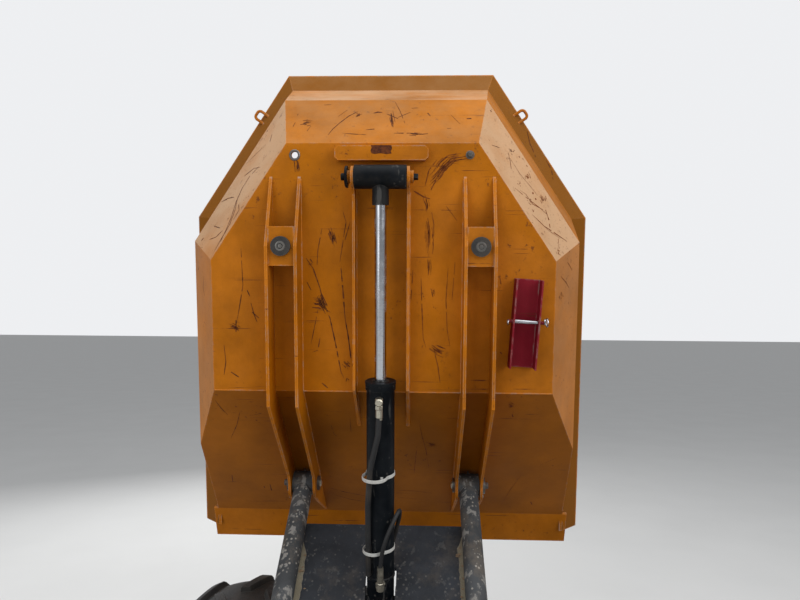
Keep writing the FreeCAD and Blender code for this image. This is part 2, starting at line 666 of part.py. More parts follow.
def ram_barrel():
    barrel = rod(V(0, 0, 30), V(0, 0, GLAND_AT - 30), RAM_R)
    bore = rod(V(0, 0, 85), V(0, 0, GLAND_AT - 45), RAM_BORE_R)
    gland = rod(V(0, 0, GLAND_AT - 30), V(0, 0, GLAND_AT), RAM_R + 4)
    way = rod(V(0, 0, 80), V(0, 0, GLAND_AT + 1), ROD_R + RUN_FIT)
    foot = rod(V(0, -FOOT_EYE_HALF, 0), V(0, FOOT_EYE_HALF, 0), FOOT_EYE_R)
    hole = rod(V(0, -RAM_R - 1, 0), V(0, RAM_R + 1, 0), TIP_PIN_R + RUN_FIT)
    port = rod(V(-RAM_R + 5, 0, GLAND_AT - 60), V(-RAM_R - 36, 0, GLAND_AT - 60), 14)
    body = joined([barrel, gland, foot, port])
    for void in (bore, way, hole):
        body = body.cut(void)
    return body


def ram_hoses():
    """Upper and lower hoses clipped along the barrel, with their fittings."""
    out = -RAM_R - 24
    upper = bent_tube([V(out, 0, GLAND_AT - 90), V(out - 4, 4, GLAND_AT - 190),
                       V(out + 2, 36, GLAND_AT - 330), V(out + 22, 46, GLAND_AT - 480),
                       V(out + 26, 44, 150)], 11, 90)
    fitting = rod(V(out, 0, GLAND_AT - 108), V(out, 0, GLAND_AT - 74.3), 13)
    return joined([upper, fitting])


def ram_rod():
    length = ram_length()
    shaft = rod(V(0, 0, GLAND_AT - 120), V(0, 0, length - 30), ROD_R)
    piston = rod(V(0, 0, GLAND_AT - 120), V(0, 0, GLAND_AT - 60), RAM_BORE_R - RUN_FIT)
    stem = rod(V(0, 0, length - 105), V(0, 0, length - 20), ROD_R + 9)
    eye = rod(V(0, -EYE_HALF, length), V(0, EYE_HALF, length), EYE_R)
    return joined([shaft, piston, stem, eye])


# Steering cylinder, drawn along +X from its front pin
def steer_points():
    """Front pin and rear pin of the cylinder, from the centre joint, as parked."""
    turn = math.radians(STEER_REST)
    x, y = STEER_BACK
    rear = V(x * math.cos(turn) - y * math.sin(turn), x * math.sin(turn) + y * math.cos(turn), 0)
    return V(STEER_FRONT[0], STEER_FRONT[1], 0), rear


def eye_block(x):
    return rod(V(x, 0, -STEER_EYE_HALF), V(x, 0, STEER_EYE_HALF), STEER_EYE_R)


def steer_barrel():
    clear = STEER_EYE_R + 32
    tube = rod(V(clear, 0, 0), V(STEER_BARREL_LENGTH, 0, 0), STEER_BARREL_R)
    neck = rod(V(20, 0, 0), V(clear, 0, 0), STEER_EYE_HALF - 2)
    bore = rod(V(clear + 10, 0, 0), V(STEER_BARREL_LENGTH - 30, 0, 0), STEER_BARREL_R - 7)
    way = rod(V(clear + 9, 0, 0), V(STEER_BARREL_LENGTH + 1, 0, 0), STEER_ROD_R + RUN_FIT)
    pin_hole = rod(V(0, 0, -50), V(0, 0, 50), STEER_PIN_R + RUN_FIT)
    return joined([tube, neck, eye_block(0)]).cut(bore).cut(way).cut(pin_hole)


def steer_rod():
    front, rear = steer_points()
    length = (rear - front).Length
    shaft = rod(V(length - 372, 0, 0), V(length - 15, 0, 0), STEER_ROD_R)
    return joined([shaft, eye_block(length)])


# Rear half, drawn straight behind the centre joint
def rear_frame():
    beam = box(REAR_END_X, REAR_FRONT_X, -REAR_HALF, REAR_HALF, REAR_LOW, REAR_TOP)
    nose = box(REAR_STEP_X, REAR_FRONT_X, -REAR_HALF, REAR_HALF, REAR_NOSE_LOW, REAR_LOW)
    inside = box(REAR_END_X + FRAME_WALL, REAR_FRONT_X - FRAME_WALL, -REAR_HALF + FRAME_WALL,
                 REAR_HALF - FRAME_WALL, REAR_NOSE_LOW - 1, REAR_TOP - FRAME_WALL)
    body = joined([beam, nose]).cut(inside)
    parts = []
    for low in (TONGUE_LOW - EAR_GAP - EAR_T, TONGUE_TOP + EAR_GAP):
        arm = box(REAR_FRONT_X - 40, PIVOT_X, -EAR_R, EAR_R, low, low + EAR_T)
        tip = Part.makeCylinder(EAR_R, EAR_T, V(PIVOT_X, 0, low))
        parts.append(joined([arm, tip]))
    pin = Part.makeCylinder(PIN_R, TONGUE_TOP - TONGUE_LOW + 2 * (EAR_T + EAR_GAP) + 30,
                            V(PIVOT_X, 0, TONGUE_LOW - EAR_GAP - EAR_T - 10))
    pads = both_sides(box(REAR_AXLE_X - 100, REAR_AXLE_X + 100, 160, REAR_HALF - 5, REAR_LOW,
                          REAR_LOW + 40))
    ears = []
    gap = STEER_EYE_HALF + SIDE_GAP
    for low in (STEER_Z + gap, STEER_Z - gap - STEER_EAR_T):
        x = PIVOT_X + STEER_BACK[0]
        y = STEER_BACK[1]
        tip = Part.makeCylinder(STEER_EYE_R + 6, STEER_EAR_T, V(x, y, low))
        arm = box(REAR_FRONT_X - 20, x, y - STEER_EYE_R - 6, y + STEER_EYE_R + 6, low,
                  low + STEER_EAR_T)
        ears.append(joined([tip, arm]))
    for z in (STEER_Z - gap - STEER_EAR_T - 8, STEER_Z + gap + STEER_EAR_T):
        ears.append(Part.makeCylinder(STEER_PIN_R + 6, 8, V(PIVOT_X + STEER_BACK[0],
                                      STEER_BACK[1], z)))
    rests = both_sides(box(POST_X - 60, POST_X + 60, REAR_HALF - 5, POST_Y + POST_SIZE / 2,
                           REAR_TOP - 60, REAR_TOP))
    return joined([body, pin] + parts + pads + ears + rests)


def operator_floor():
    plate_body = box(FLOOR_BACK_X, REAR_FRONT_X - 10, -FLOOR_HALF, FLOOR_HALF, REAR_TOP,
                     REAR_TOP + FLOOR_T)
    kicks = both_sides(box(REAR_FRONT_X - 120, REAR_FRONT_X - 10, CONSOLE_HALF + 60, FLOOR_HALF,
                           REAR_TOP, REAR_TOP + 120))
    return joined([plate_body] + kicks)


def console():
    base = REAR_TOP + FLOOR_T
    body = plate([(CONSOLE_FRONT_X, base), (CONSOLE_FRONT_X, CONSOLE_TOP - 60),
                  (CONSOLE_FRONT_X - 40, CONSOLE_TOP), (CONSOLE_FRONT_X - 100, CONSOLE_TOP),
                  (CONSOLE_BACK_X, CONSOLE_TOP - 110), (CONSOLE_BACK_X, CONSOLE_TOP - 170),
                  (CONSOLE_BACK_X + 90, base)], "xz", -CONSOLE_HALF, CONSOLE_HALF)
    foot = V(COLUMN_FOOT[0], 0, COLUMN_FOOT[1])
    head = V(WHEEL_CENTRE[0], 0, WHEEL_CENTRE[1])
    stop = head - (head - foot).normalize() * 30
    return joined([body, rod(foot, stop, COLUMN_R)])


def steering_wheel():
    head = V(WHEEL_CENTRE[0], 0, WHEEL_CENTRE[1])
    foot = V(COLUMN_FOOT[0], 0, COLUMN_FOOT[1])
    normal = (head - foot).normalize()
    ring = Part.makeTorus(WHEEL_R - WHEEL_RIM_R, WHEEL_RIM_R, head, normal)
    hub = rod(head - normal * 30, head + normal * 12, 42)
    across = V(0, 1, 0)
    up = normal.cross(across)
    spokes = [rod(head, head + (up * math.sin(t) + across * math.cos(t)) * (WHEEL_R - 20), 9)
              for t in [math.radians(d) for d in (90, 210, 330)]]
    return joined([ring, hub] + spokes)


def seat_box():
    """Sheet box under the seat, hollow inside, standing on floor and frame."""
    body = box(SEAT_BOX_BACK_X, FLOOR_BACK_X, -REAR_HALF, REAR_HALF, REAR_TOP, SEAT_BOX_TOP)
    lap = box(FLOOR_BACK_X, SEAT_BOX_FRONT_X, -REAR_HALF, REAR_HALF, REAR_TOP + FLOOR_T,
              SEAT_BOX_TOP)
    inside = box(SEAT_BOX_BACK_X + SHEET_T, SEAT_BOX_FRONT_X - SHEET_T, -REAR_HALF + SHEET_T,
                 REAR_HALF - SHEET_T, REAR_TOP - 1, SEAT_BOX_TOP - SHEET_T)
    return joined([body, lap]).cut(inside)


def seat_cushion():
    front = SEAT_BOX_FRONT_X + 60
    return box(front - 440, front, -SEAT_HALF, SEAT_HALF, SEAT_BOX_TOP + FACE_GAP,
               SEAT_BOX_TOP + SEAT_T)


def seat_back():
    front = SEAT_BOX_FRONT_X + 60 - 440
    low = SEAT_BOX_TOP + FACE_GAP
    return plate([(front - FACE_GAP, low), (front - 60, low + SEAT_BACK_HEIGHT),
                  (front - 140, low + SEAT_BACK_HEIGHT), (front - 92, low)], "xz",
                 -SEAT_HALF + 10, SEAT_HALF - 10)


def tank(side):
    """A step tank under the floor, its lower outer edge rounded."""
    near, far = sorted((side * TANK_HALF_IN, side * TANK_HALF_OUT))
    body = box(TANK_BACK_X, TANK_FRONT_X, near, far, TANK_LOW, REAR_TOP)
    outer = [e for e in body.Edges if abs(e.tangentAt(e.FirstParameter).x) > 0.99
             and abs(e.CenterOfMass.y) > TANK_HALF_OUT - 1 and e.CenterOfMass.z < TANK_LOW + 1]
    return body.makeFillet(TANK_ROUND, outer)


def engine_block():
    return box(BAY_BACK_X + ENGINE_GAP, BAY_FRONT_X - ENGINE_GAP, -ENGINE_HALF, ENGINE_HALF, REAR_TOP,
               ENGINE_TOP)


def engine_panels():
    """Fixed lower panels round the engine, open in front and on top."""
    outer = box(BAY_BACK_X, BAY_FRONT_X, -BAY_HALF, BAY_HALF, WEIGHT_TOP, BAY_SPLIT_Z - 5)
    inner = box(BAY_BACK_X + SHEET_T, BAY_FRONT_X + 1, -BAY_HALF + SHEET_T, BAY_HALF - SHEET_T,
                WEIGHT_TOP - 1, BAY_SPLIT_Z)
    shelf = both_sides(box(REAR_END_X + 40, BAY_FRONT_X - 60, REAR_HALF, BAY_HALF, WEIGHT_TOP + 20,
                           WEIGHT_TOP + 28))
    body = outer.cut(inner)
    for void in hinge_parts(wider(HINGE_INNER), HINGE_R + 5):
        body = body.cut(void)
    pins = hinge_parts(((HINGE_OUTER[0][0], HINGE_OUTER[1][1]),), HINGE_PIN_R)
    return joined([body] + shelf + hinge_parts(HINGE_OUTER, HINGE_R) + pins)


def bonnet():
    """Lid over the engine, hollow, with a sloping rear face; opens about its rear edge."""
    def hood(inset, drop):
        return plate([(BAY_FRONT_X - inset, BAY_SPLIT_Z - drop),
                      (BAY_FRONT_X - inset, BONNET_TOP - inset),
                      (BAY_BACK_X + BONNET_SLOPE + inset, BONNET_TOP - inset),
                      (BAY_BACK_X + 20 + inset, BONNET_TOP - BONNET_SLOPE),
                      (BAY_BACK_X + inset, BAY_SPLIT_Z - drop)], "xz", -BAY_HALF + inset,
                     BAY_HALF - inset)
    lid = joined([hood(0, 0).cut(hood(SHEET_T, 1))] + hinge_parts(HINGE_INNER, HINGE_R))
    voids = hinge_parts(wider(HINGE_OUTER), HINGE_R + 5)
    for void in voids + hinge_parts(HINGE_INNER, HINGE_PIN_R + RUN_FIT):
        lid = lid.cut(void)
    return lid


def wider(spans):
    """The same spans with side play at both ends."""
    return [(low - 2, high + 2) for low, high in spans]


def hinge_parts(spans, radius):
    """Round bars on the bonnet's hinge line, one for each span across, on both sides."""
    return [bar for low, high in spans
            for bar in both_sides(rod(V(BAY_BACK_X, low, BAY_SPLIT_Z), V(BAY_BACK_X, high, BAY_SPLIT_Z),
                                      radius))]


def grille():
    """Slatted grille set on the rear panel."""
    low = WEIGHT_TOP + 15
    high = BAY_SPLIT_Z - 20
    half = BAY_HALF - 130
    frame = box(BAY_BACK_X - 10, BAY_BACK_X, -half, half, low, high)
    window = box(BAY_BACK_X - 11, BAY_BACK_X - 3, -half + 20, half - 20, low + 15, high - 15)
    count = 7
    step = (high - low - 30) / count
    slats = [box(BAY_BACK_X - 9, BAY_BACK_X - 2, -half + 19, half - 19, low + 15 + step * i + step * 0.3,
                 low + 15 + step * i + step * 0.75) for i in range(count)]
    return joined([frame.cut(window)] + slats)


def counterweight():
    body = plate([(WEIGHT_FRONT_X, WEIGHT_LOW + 60), (WEIGHT_FRONT_X, WEIGHT_TOP),
                  (WEIGHT_BACK_X, WEIGHT_TOP), (WEIGHT_BACK_X, WEIGHT_LOW + 60),
                  (WEIGHT_BACK_X + 50, WEIGHT_LOW), (WEIGHT_FRONT_X - 60, WEIGHT_LOW)], "xz",
                 -BAY_HALF, BAY_HALF)
    jaws = []
    for low in (JAW_Z - JAW_GAP / 2 - JAW_T, JAW_Z + JAW_GAP / 2):
        tip = Part.makeCylinder(48, JAW_T, V(WEIGHT_BACK_X - JAW_REACH + 48, 0, low))
        arm = box(WEIGHT_BACK_X - JAW_REACH + 48, WEIGHT_BACK_X + 10, -48, 48, low, low + JAW_T)
        jaws.append(joined([tip, arm]))
    bore = Part.makeCylinder(JAW_BORE_R, 400, V(WEIGHT_BACK_X - JAW_REACH + 48, 0, JAW_Z - 120))
    return joined([body] + jaws).cut(bore)


def rops_posts():
    half = POST_SIZE / 2
    post = box(POST_X - half, POST_X + half, POST_Y - half, POST_Y + half, REAR_TOP, FOLD_Z - 45)
    places = (POST_Y - half, POST_Y + half - POST_EAR_T)
    eyes = [box(POST_X - half, POST_X + half, y, y + POST_EAR_T, FOLD_Z - 45, FOLD_Z) for y in places]
    ends = [rod(V(POST_X, y, FOLD_Z), V(POST_X, y + POST_EAR_T, FOLD_Z), half) for y in places]
    cross = box(POST_X - 30, POST_X + 30, -POST_Y, POST_Y, SEAT_BOX_TOP - 130, SEAT_BOX_TOP - 70)
    pin = rod(V(POST_X, POST_Y - half - 6, FOLD_Z), V(POST_X, POST_Y + half + 6, FOLD_Z), FOLD_PIN_R)
    side = joined([post, pin] + eyes + ends)
    return joined(both_sides(side) + [cross])


def rops_hoop():
    """Folding hoop: two uprights with hinge eyes, rounded corners and a top bar."""
    tube = HOOP_TUBE / 2
    eye_half = tube - 2
    top = HOOP_TOP - tube
    corner = 140
    path = [V(POST_X, POST_Y, FOLD_Z), V(POST_X, POST_Y, top), V(POST_X, -POST_Y, top),
            V(POST_X, -POST_Y, FOLD_Z)]
    hoop = bent_tube(path, tube, corner)
    eyes = [rod(V(POST_X, s * POST_Y - eye_half, FOLD_Z), V(POST_X, s * POST_Y + eye_half, FOLD_Z),
                tube + 6) for s in (-1, 1)]
    stand = rod(V(POST_X, BEACON_Y, HOOP_TOP - 4), V(POST_X, BEACON_Y, HOOP_TOP + BEACON_LIFT), 30)
    body = joined([hoop, stand] + eyes)
    for side in (-1, 1):
        middle = V(POST_X, side * POST_Y, FOLD_Z)
        reach = V(0, tube + 1, 0)
        body = body.cut(rod(middle - reach, middle + reach, FOLD_PIN_R + RUN_FIT))
    return body


def beacon():
    low = HOOP_TOP + BEACON_LIFT
    base = Part.makeCylinder(62, 22, V(POST_X, BEACON_Y, low))
    lens = Part.makeCone(58, 46, 100, V(POST_X, BEACON_Y, low + 22))
    return joined([base, lens])


def rear_lamps():
    lamp = box(BAY_BACK_X - 34, BAY_BACK_X, BAY_HALF - 112, BAY_HALF - 12, WEIGHT_TOP + 30,
               WEIGHT_TOP + 120)
    return together(both_sides(lamp))


def mudguards():
    """A rolled guard over each rear wheel, on a side plate that stands on the floor's edge."""
    radius = TYRE_R + GUARD_GAP
    centre = V(REAR_AXLE_X, 0, TYRE_R)
    band = Part.makeCylinder(radius + GUARD_T, GUARD_OUT - GUARD_IN, centre + V(0, GUARD_IN, 0),
                             V(0, 1, 0))
    band = band.cut(Part.makeCylinder(radius, GUARD_OUT, centre, V(0, 1, 0)))
    cheek = Part.makeCylinder(radius + 1, GUARD_T, centre + V(0, GUARD_IN, 0), V(0, 1, 0))
    low = REAR_TOP - 60
    reach = math.radians(GUARD_ANGLE)
    span = radius * 1.5
    high = centre.z + radius * 2
    wedge = plate([(centre.x, centre.z), (centre.x + span * math.sin(reach),
                   centre.z + span * math.cos(reach)), (centre.x + span * math.sin(reach), high),
                   (centre.x - span * math.sin(reach), high),
                   (centre.x - span * math.sin(reach), centre.z + span * math.cos(reach))], "xz",
                  GUARD_IN - 1, GUARD_OUT + 1)
    above = box(centre.x - 900, centre.x + 900, GUARD_IN - 1, GUARD_OUT + 1, low, high)
    band = band.common(wedge)
    cheek = cheek.common(above).common(wedge)
    return together(both_sides(joined([band, cheek])))


def moved(shape, steps):
    """A copy turned and shifted by steps of (centre, axis, degrees) or a shift vector."""
    copy = shape.copy()
    for step in steps:
        if isinstance(step, tuple):
            copy.rotate(*step)
        else:
            copy.translate(step)
    return copy


SWIVEL = (V(0, 0, 0), V(0, 0, 1), SLEW_REST)
REAR_TURN = (V(PIVOT_X, 0, 0), V(0, 0, 1), STEER_REST)
TIP = [(V(0, 0, 0), V(0, 1, 0), TIP_REST), V(TIP_X, 0, TIP_Z), SWIVEL]


def ram_steps():
    foot = V(-RAM_FOOT_BACK, 0, -RAM_FOOT_DROP)
    line = tipped_point(EYE_A, EYE_C) - foot
    lean = math.degrees(math.atan2(line.x, line.z))
    return [(V(0, 0, 0), V(0, 1, 0), lean), V(TIP_X, 0, TIP_Z) + foot, SWIVEL]


def steer_steps():
    front, rear = steer_points()
    line = rear - front
    heading = math.degrees(math.atan2(line.y, line.x))
    return [(V(0, 0, 0), V(0, 0, 1), heading), front + V(PIVOT_X, 0, STEER_Z)]


def build():
    """Every sub-part as parked: {body: {node: shape}}."""
    pad_gap = REAR_LOW - TYRE_R
    bodies = {
        "front_chassis": {"front_frame": moved(front_frame(), []),
                          "front_axle": moved(axle(pad_gap), [V(FRONT_AXLE_X, 0, TYRE_R)]),
                          "slew_ring": slew_ring()},
        "cradle": {"cradle_rails": moved(cradle_rails(), [SWIVEL]),
                   "cradle_plate": moved(cradle_plate(), [SWIVEL])},
        "skip": {name: moved(make(), TIP) for name, make in (
            ("skip_shell", skip_shell), ("skip_ribs", skip_ribs), ("skip_spine", skip_spine),
            ("tip_pins", tip_pins), ("rest_buffers", rest_buffers), ("ram_lock", ram_lock),
            ("lifting_loops", lifting_loops))},
        "ram_barrel": {"ram_barrel": moved(ram_barrel(), ram_steps()),
                       "ram_hoses": moved(ram_hoses(), ram_steps())},
        "ram_rod": {"ram_rod": moved(ram_rod(), ram_steps())},
        "steer_barrel": {"steer_barrel": moved(steer_barrel(), steer_steps())},
        "steer_rod": {"steer_rod": moved(steer_rod(), steer_steps())},
        "rear_chassis": {name: moved(make(), [REAR_TURN]) for name, make in (
            ("rear_frame", rear_frame), ("operator_floor", operator_floor),
            ("console", console), ("steering_wheel", steering_wheel), ("seat_box", seat_box),
            ("seat_cushion", seat_cushion), ("seat_back", seat_back),
            ("fuel_tank", lambda: tank(1)), ("hydraulic_tank", lambda: tank(-1)),
            ("engine_block", engine_block), ("engine_panels", engine_panels),
            ("grille", grille), ("counterweight", counterweight), ("rops_posts", rops_posts),
            ("rear_lamps", rear_lamps), ("mudguards", mudguards))},
        "bonnet": {"bonnet": moved(bonnet(), [REAR_TURN])},
        "rops_hoop": {"rops_hoop": moved(rops_hoop(), [REAR_TURN]),
                      "beacon": moved(beacon(), [REAR_TURN])},
    }
    rear_axle = moved(axle(pad_gap), [V(REAR_AXLE_X, 0, TYRE_R), REAR_TURN])
    bodies["rear_chassis"]["rear_axle"] = rear_axle
    for end, x, turn in (("front", FRONT_AXLE_X, []), ("rear", REAR_AXLE_X, [REAR_TURN])):
        for side, sign in (("left", 1), ("right", -1)):
            place = [V(x, sign * TRACK_HALF, TYRE_R)] + turn
            name = end + "_" + side
            bodies["wheel_" + name] = {"tyre_" + name: moved(tyre(), place),
                                       "rim_" + name: moved(rim(sign), place)}
    return bodies


def shift_to_origin(bodies):
    """The move that puts the origin under the middle of the whole machine's box."""
    whole = Part.makeCompound([shape for nodes in bodies.values() for shape in nodes.values()])
    bounds = whole.optimalBoundingBox(False)
    return V(-bounds.Center.x, -bounds.Center.y, -bounds.ZMin)


def main():
    os.makedirs("parts", exist_ok=True)
    bodies = build()
    shift = shift_to_origin(bodies)
    for nodes in bodies.values():
        for name, shape in nodes.items():
            shape.translate(shift)
            shape.exportStep("parts/" + name + ".step")
    return bodies, shift


BODIES, SHIFT = main()
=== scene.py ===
"""Looks of the site dumper: camera, light, materials and the small pieces over the CAD frame.

Lengths are metres in the frame's own axes: X forward, Y left, Z up, ground at Z = 0.
"""
import json
import math
import random

import bmesh
import bpy
from mathutils import Matrix, Vector, noise


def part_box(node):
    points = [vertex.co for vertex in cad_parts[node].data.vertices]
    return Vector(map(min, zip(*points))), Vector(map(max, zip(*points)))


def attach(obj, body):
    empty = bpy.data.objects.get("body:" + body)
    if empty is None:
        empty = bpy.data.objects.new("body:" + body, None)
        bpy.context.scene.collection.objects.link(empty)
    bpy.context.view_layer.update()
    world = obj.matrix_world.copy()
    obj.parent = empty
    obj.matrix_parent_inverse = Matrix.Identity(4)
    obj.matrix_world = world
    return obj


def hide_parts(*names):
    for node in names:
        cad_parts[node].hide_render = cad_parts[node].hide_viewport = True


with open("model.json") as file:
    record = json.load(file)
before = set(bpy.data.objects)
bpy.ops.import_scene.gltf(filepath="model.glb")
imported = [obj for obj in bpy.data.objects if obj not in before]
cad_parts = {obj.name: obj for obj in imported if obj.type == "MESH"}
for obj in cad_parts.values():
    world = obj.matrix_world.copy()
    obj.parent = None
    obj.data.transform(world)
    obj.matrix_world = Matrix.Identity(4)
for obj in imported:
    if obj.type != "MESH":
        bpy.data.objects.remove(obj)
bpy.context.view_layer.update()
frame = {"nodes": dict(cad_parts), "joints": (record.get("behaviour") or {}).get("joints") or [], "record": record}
NODES = frame["nodes"]

# How the CAD stands: the tipped skip's axis and angle, the rear half's turn about the centre pin
JOINTS = {joint["name"]: joint for joint in frame["joints"]}
TIP_AXIS = Vector(JOINTS["tip"]["pos_m"])
SHIFT = TIP_AXIS - Vector((0.0, -0.850, 1.550))
TIP_ANGLE = math.radians(81.4)
REAR_TURN = math.radians(-18.0)
PIVOT = Vector((-0.570, 0.0, 0.0))
# The skip floor's outer side, the cradle's table, and its rails: height, distance, where and how they rise
FLOOR_C = -0.318
TABLE_TOP = 1.0365
RAIL_Z = 1.080
RAIL_Y = 0.38
RAIL_KINK = 0.2696
RAIL_RISE = math.tan(math.radians(39.0))
# Axles, the operator floor's top and the seat box's top
AXLE_Z = 0.540
FRONT_AXLE_X = 0.600
REAR_AXLE_X = -1.770
DECK_Z = 0.868
BOX_Z = 1.232


def skip(a, b, c):
    """A point given from the tipping axis on the lowered skip: forward, left and up."""
    tipped = Matrix.Rotation(TIP_ANGLE, 3, "Y") @ Vector((a, b, c))
    return Matrix.Rotation(math.radians(-90), 3, "Z") @ tipped + TIP_AXIS


def cradle(x, y, z):
    """A point given on the cradle as if the skip faced forward."""
    return Vector((y, -x, z)) + SHIFT


def rear(x, y, z):
    """A point given on the rear half as if it stood straight."""
    return Matrix.Rotation(REAR_TURN, 3, "Z") @ (Vector((x, y, z)) - PIVOT) + PIVOT + SHIFT


def front(x, y, z):
    """A point given on the front half."""
    return Vector((x, y, z)) + SHIFT


def direction(place, x, y, z):
    """The direction that (x, y, z) has in one of the places above, or on the ram, dash or wheel."""
    return (place(x, y, z) - place(0, 0, 0)).normalized()


UP = Vector((0, 0, 1))
SKIP_OUT = direction(skip, 0, 0, -1)
REAR_AHEAD = direction(rear, 1, 0, 0)
REAR_BACK = direction(rear, -1, 0, 0)

# Camera at the photograph's viewpoint
CAMERA_AT = Vector((-0.147, 1.932, 2.250)) + SHIFT
CAMERA_YAW = 0.032
CAMERA_PITCH = 0.056
CAMERA_ROLL = 0.009
CAMERA_LENS = 26.55


def add_camera():
    ahead = Vector((math.sin(CAMERA_YAW) * math.cos(CAMERA_PITCH),
                    -math.cos(CAMERA_YAW) * math.cos(CAMERA_PITCH), math.sin(CAMERA_PITCH)))
    level = Vector((-math.cos(CAMERA_YAW), -math.sin(CAMERA_YAW), 0.0))
    above = level.cross(ahead)
    right = level * math.cos(CAMERA_ROLL) + above * math.sin(CAMERA_ROLL)
    up = above * math.cos(CAMERA_ROLL) - level * math.sin(CAMERA_ROLL)
    data = bpy.data.cameras.new("camera")
    data.lens = CAMERA_LENS
    data.sensor_width = 36.0
    data.clip_start = 0.05
    camera = bpy.data.objects.new("camera", data)
    camera.matrix_world = Matrix((right, up, -ahead)).transposed().to_4x4()
    camera.location = CAMERA_AT
    bpy.context.scene.collection.objects.link(camera)
    bpy.context.scene.camera = camera


# Soft studio: a pale floor, a pale world and four large lamps (place, aim, size, watts)
LAMPS = (
    ((1.0, 1.5, 7.5), (0.6, -0.8, 1.0), 7.0, 260.0),
    ((-5.0, 4.5, 5.2), (0.6, -0.8, 1.6), 5.0, 300.0),
    ((5.5, 5.5, 3.2), (0.6, -0.8, 1.6), 5.0, 110.0),
    ((3.5, -6.0, 4.5), (0.6, -0.8, 1.6), 5.0, 200.0),
)
WORLD_LIGHT = 0.42


def add_studio():
    scene = bpy.context.scene
    scene.view_settings.view_transform = "Standard"
    world = bpy.data.worlds.new("studio")
    world.use_nodes = True
    tree = world.node_tree
    tree.nodes.clear()
    grounds = []
    for color, strength in (((0.95, 0.97, 1.0, 1.0), WORLD_LIGHT), ((0.90, 0.91, 0.93, 1.0), 0.95)):
        grounds.append(tree.nodes.new("ShaderNodeBackground"))
        grounds[-1].inputs["Color"].default_value = color
        grounds[-1].inputs["Strength"].default_value = strength
    path = tree.nodes.new("ShaderNodeLightPath")
    mix = tree.nodes.new("ShaderNodeMixShader")
    out = tree.nodes.new("ShaderNodeOutputWorld")
    tree.links.new(path.outputs["Is Camera Ray"], mix.inputs["Fac"])
    for i, ground in enumerate(grounds):
        tree.links.new(ground.outputs[0], mix.inputs[i + 1])
    tree.links.new(mix.outputs[0], out.inputs["Surface"])
    scene.world = world
    for place, aim, size, watts in LAMPS:
        data = bpy.data.lights.new("softbox", "AREA")
        data.shape = "SQUARE"
        data.size = size
        data.energy = watts
        lamp = bpy.data.objects.new("softbox", data)
        lamp.location = place
        lamp.rotation_euler = (Vector(aim) - Vector(place)).to_track_quat("-Z", "Y").to_euler()
        scene.collection.objects.link(lamp)
    mesh = bpy.data.meshes.new("floor")
    reach = 250.0
    mesh.from_pydata([(-reach, -reach, 0), (reach, -reach, 0), (reach, reach, 0), (-reach, reach, 0)],
                     [], [(0, 1, 2, 3)])
    floor = bpy.data.objects.new("floor", mesh)
    scene.collection.objects.link(floor)
    graph = Graph("studio_floor")
    spots = graph.noise(1.2, 3)
    graph.finish(graph.mix((0.66, 0.66, 0.65, 1), (0.72, 0.72, 0.71, 1), spots), 0.85)
    mesh.materials.append(graph.material)


# Materials
class Graph:
    """A node material. Each value given is a number, a colour or another node's output."""

    def __init__(self, name):
        self.material = bpy.data.materials.new(name)
        self.material.use_nodes = True
        self.tree = self.material.node_tree
        self.tree.nodes.clear()
        self.place = self.tree.nodes.new("ShaderNodeTexCoord")

    def put(self, socket, value):
        if isinstance(value, bpy.types.NodeSocket):
            self.tree.links.new(value, socket)
        else:
            socket.default_value = value

    def node(self, kind, **inputs):
        """A new node; each keyword names one of its inputs, with _ for a space."""
        node = self.tree.nodes.new("ShaderNode" + kind)
        for name, value in inputs.items():
            self.put(node.inputs[name.replace("_", " ")], value)
        return node

    def where(self, scale=(1, 1, 1), turn=(0, 0, 0), start=(0, 0, 0)):
        """Object coordinates, moved, turned and stretched."""
        node = self.node("Mapping", Vector=self.place.outputs["Object"], Scale=scale, Rotation=turn, Location=start)
        node.vector_type = "POINT"
        return node.outputs[0]

    def noise(self, scale, detail=4, rough=0.55, at=None):
        return self.node("TexNoise", Vector=at or self.place.outputs["Object"], Scale=scale, Detail=detail,
                         Roughness=rough).outputs["Fac"]

    def cells(self, scale, at=None):
        return self.node("TexVoronoi", Vector=at or self.place.outputs["Object"], Scale=scale).outputs["Distance"]

    def spread(self, value, low, high, to=1.0):
        """0 below low, rising to the value 'to' at high; low may be the greater one."""
        return self.node("MapRange", Value=value, From_Min=low, From_Max=high, To_Max=to).outputs[0]

    def calc(self, kind, a, b=0.0):
        node = self.node("Math")
        node.operation = kind
        node.use_clamp = kind == "ADD"
        self.put(node.inputs[0], a)
        self.put(node.inputs[1], b)
        return node.outputs[0]

    def mix(self, a, b, share):
        node = self.node("Mix")
        node.data_type = "RGBA"
        for socket, value in ((0, share), (6, a), (7, b)):
            self.put(node.inputs[socket], value)
        return node.outputs[2]

    def dot(self, a, b):
        node = self.node("VectorMath")
        node.operation = "DOT_PRODUCT"
        self.put(node.inputs[0], a)
        self.put(node.inputs[1], b)
        return node.outputs["Value"]

    def facing(self, x, y, z):
        """How far the surface looks along a direction, from -1 to 1."""
        return self.dot(self.place.outputs["Normal"], (x, y, z))

    def edges(self, width):
        """Bright along sharp edges, from the angle between the true and the rounded normal."""
        rounded = self.node("Bevel", Radius=width)
        rounded.samples = 3
        same = self.dot(rounded.outputs[0], self.node("NewGeometry").outputs["Normal"])
        return self.spread(self.calc("SUBTRACT", 1.0, same), 0.02, 0.22)

    def finish(self, color, rough, metal=0.0, height=None, depth=0.002, coat=0.0, sheen=0.0, gloss=0.5):
        """The shader and the output; height bumps the surface by depth."""
        shader = self.node("BsdfPrincipled", Base_Color=color, Roughness=rough, Metallic=metal, Coat_Weight=coat,
                           Sheen_Weight=sheen, Specular_IOR_Level=gloss)
        if height is not None:
            bump = self.node("Bump", Distance=depth, Height=height)
            self.put(shader.inputs["Normal"], bump.outputs[0])
        self.node("OutputMaterial", Surface=shader.outputs[0])
        return self.material


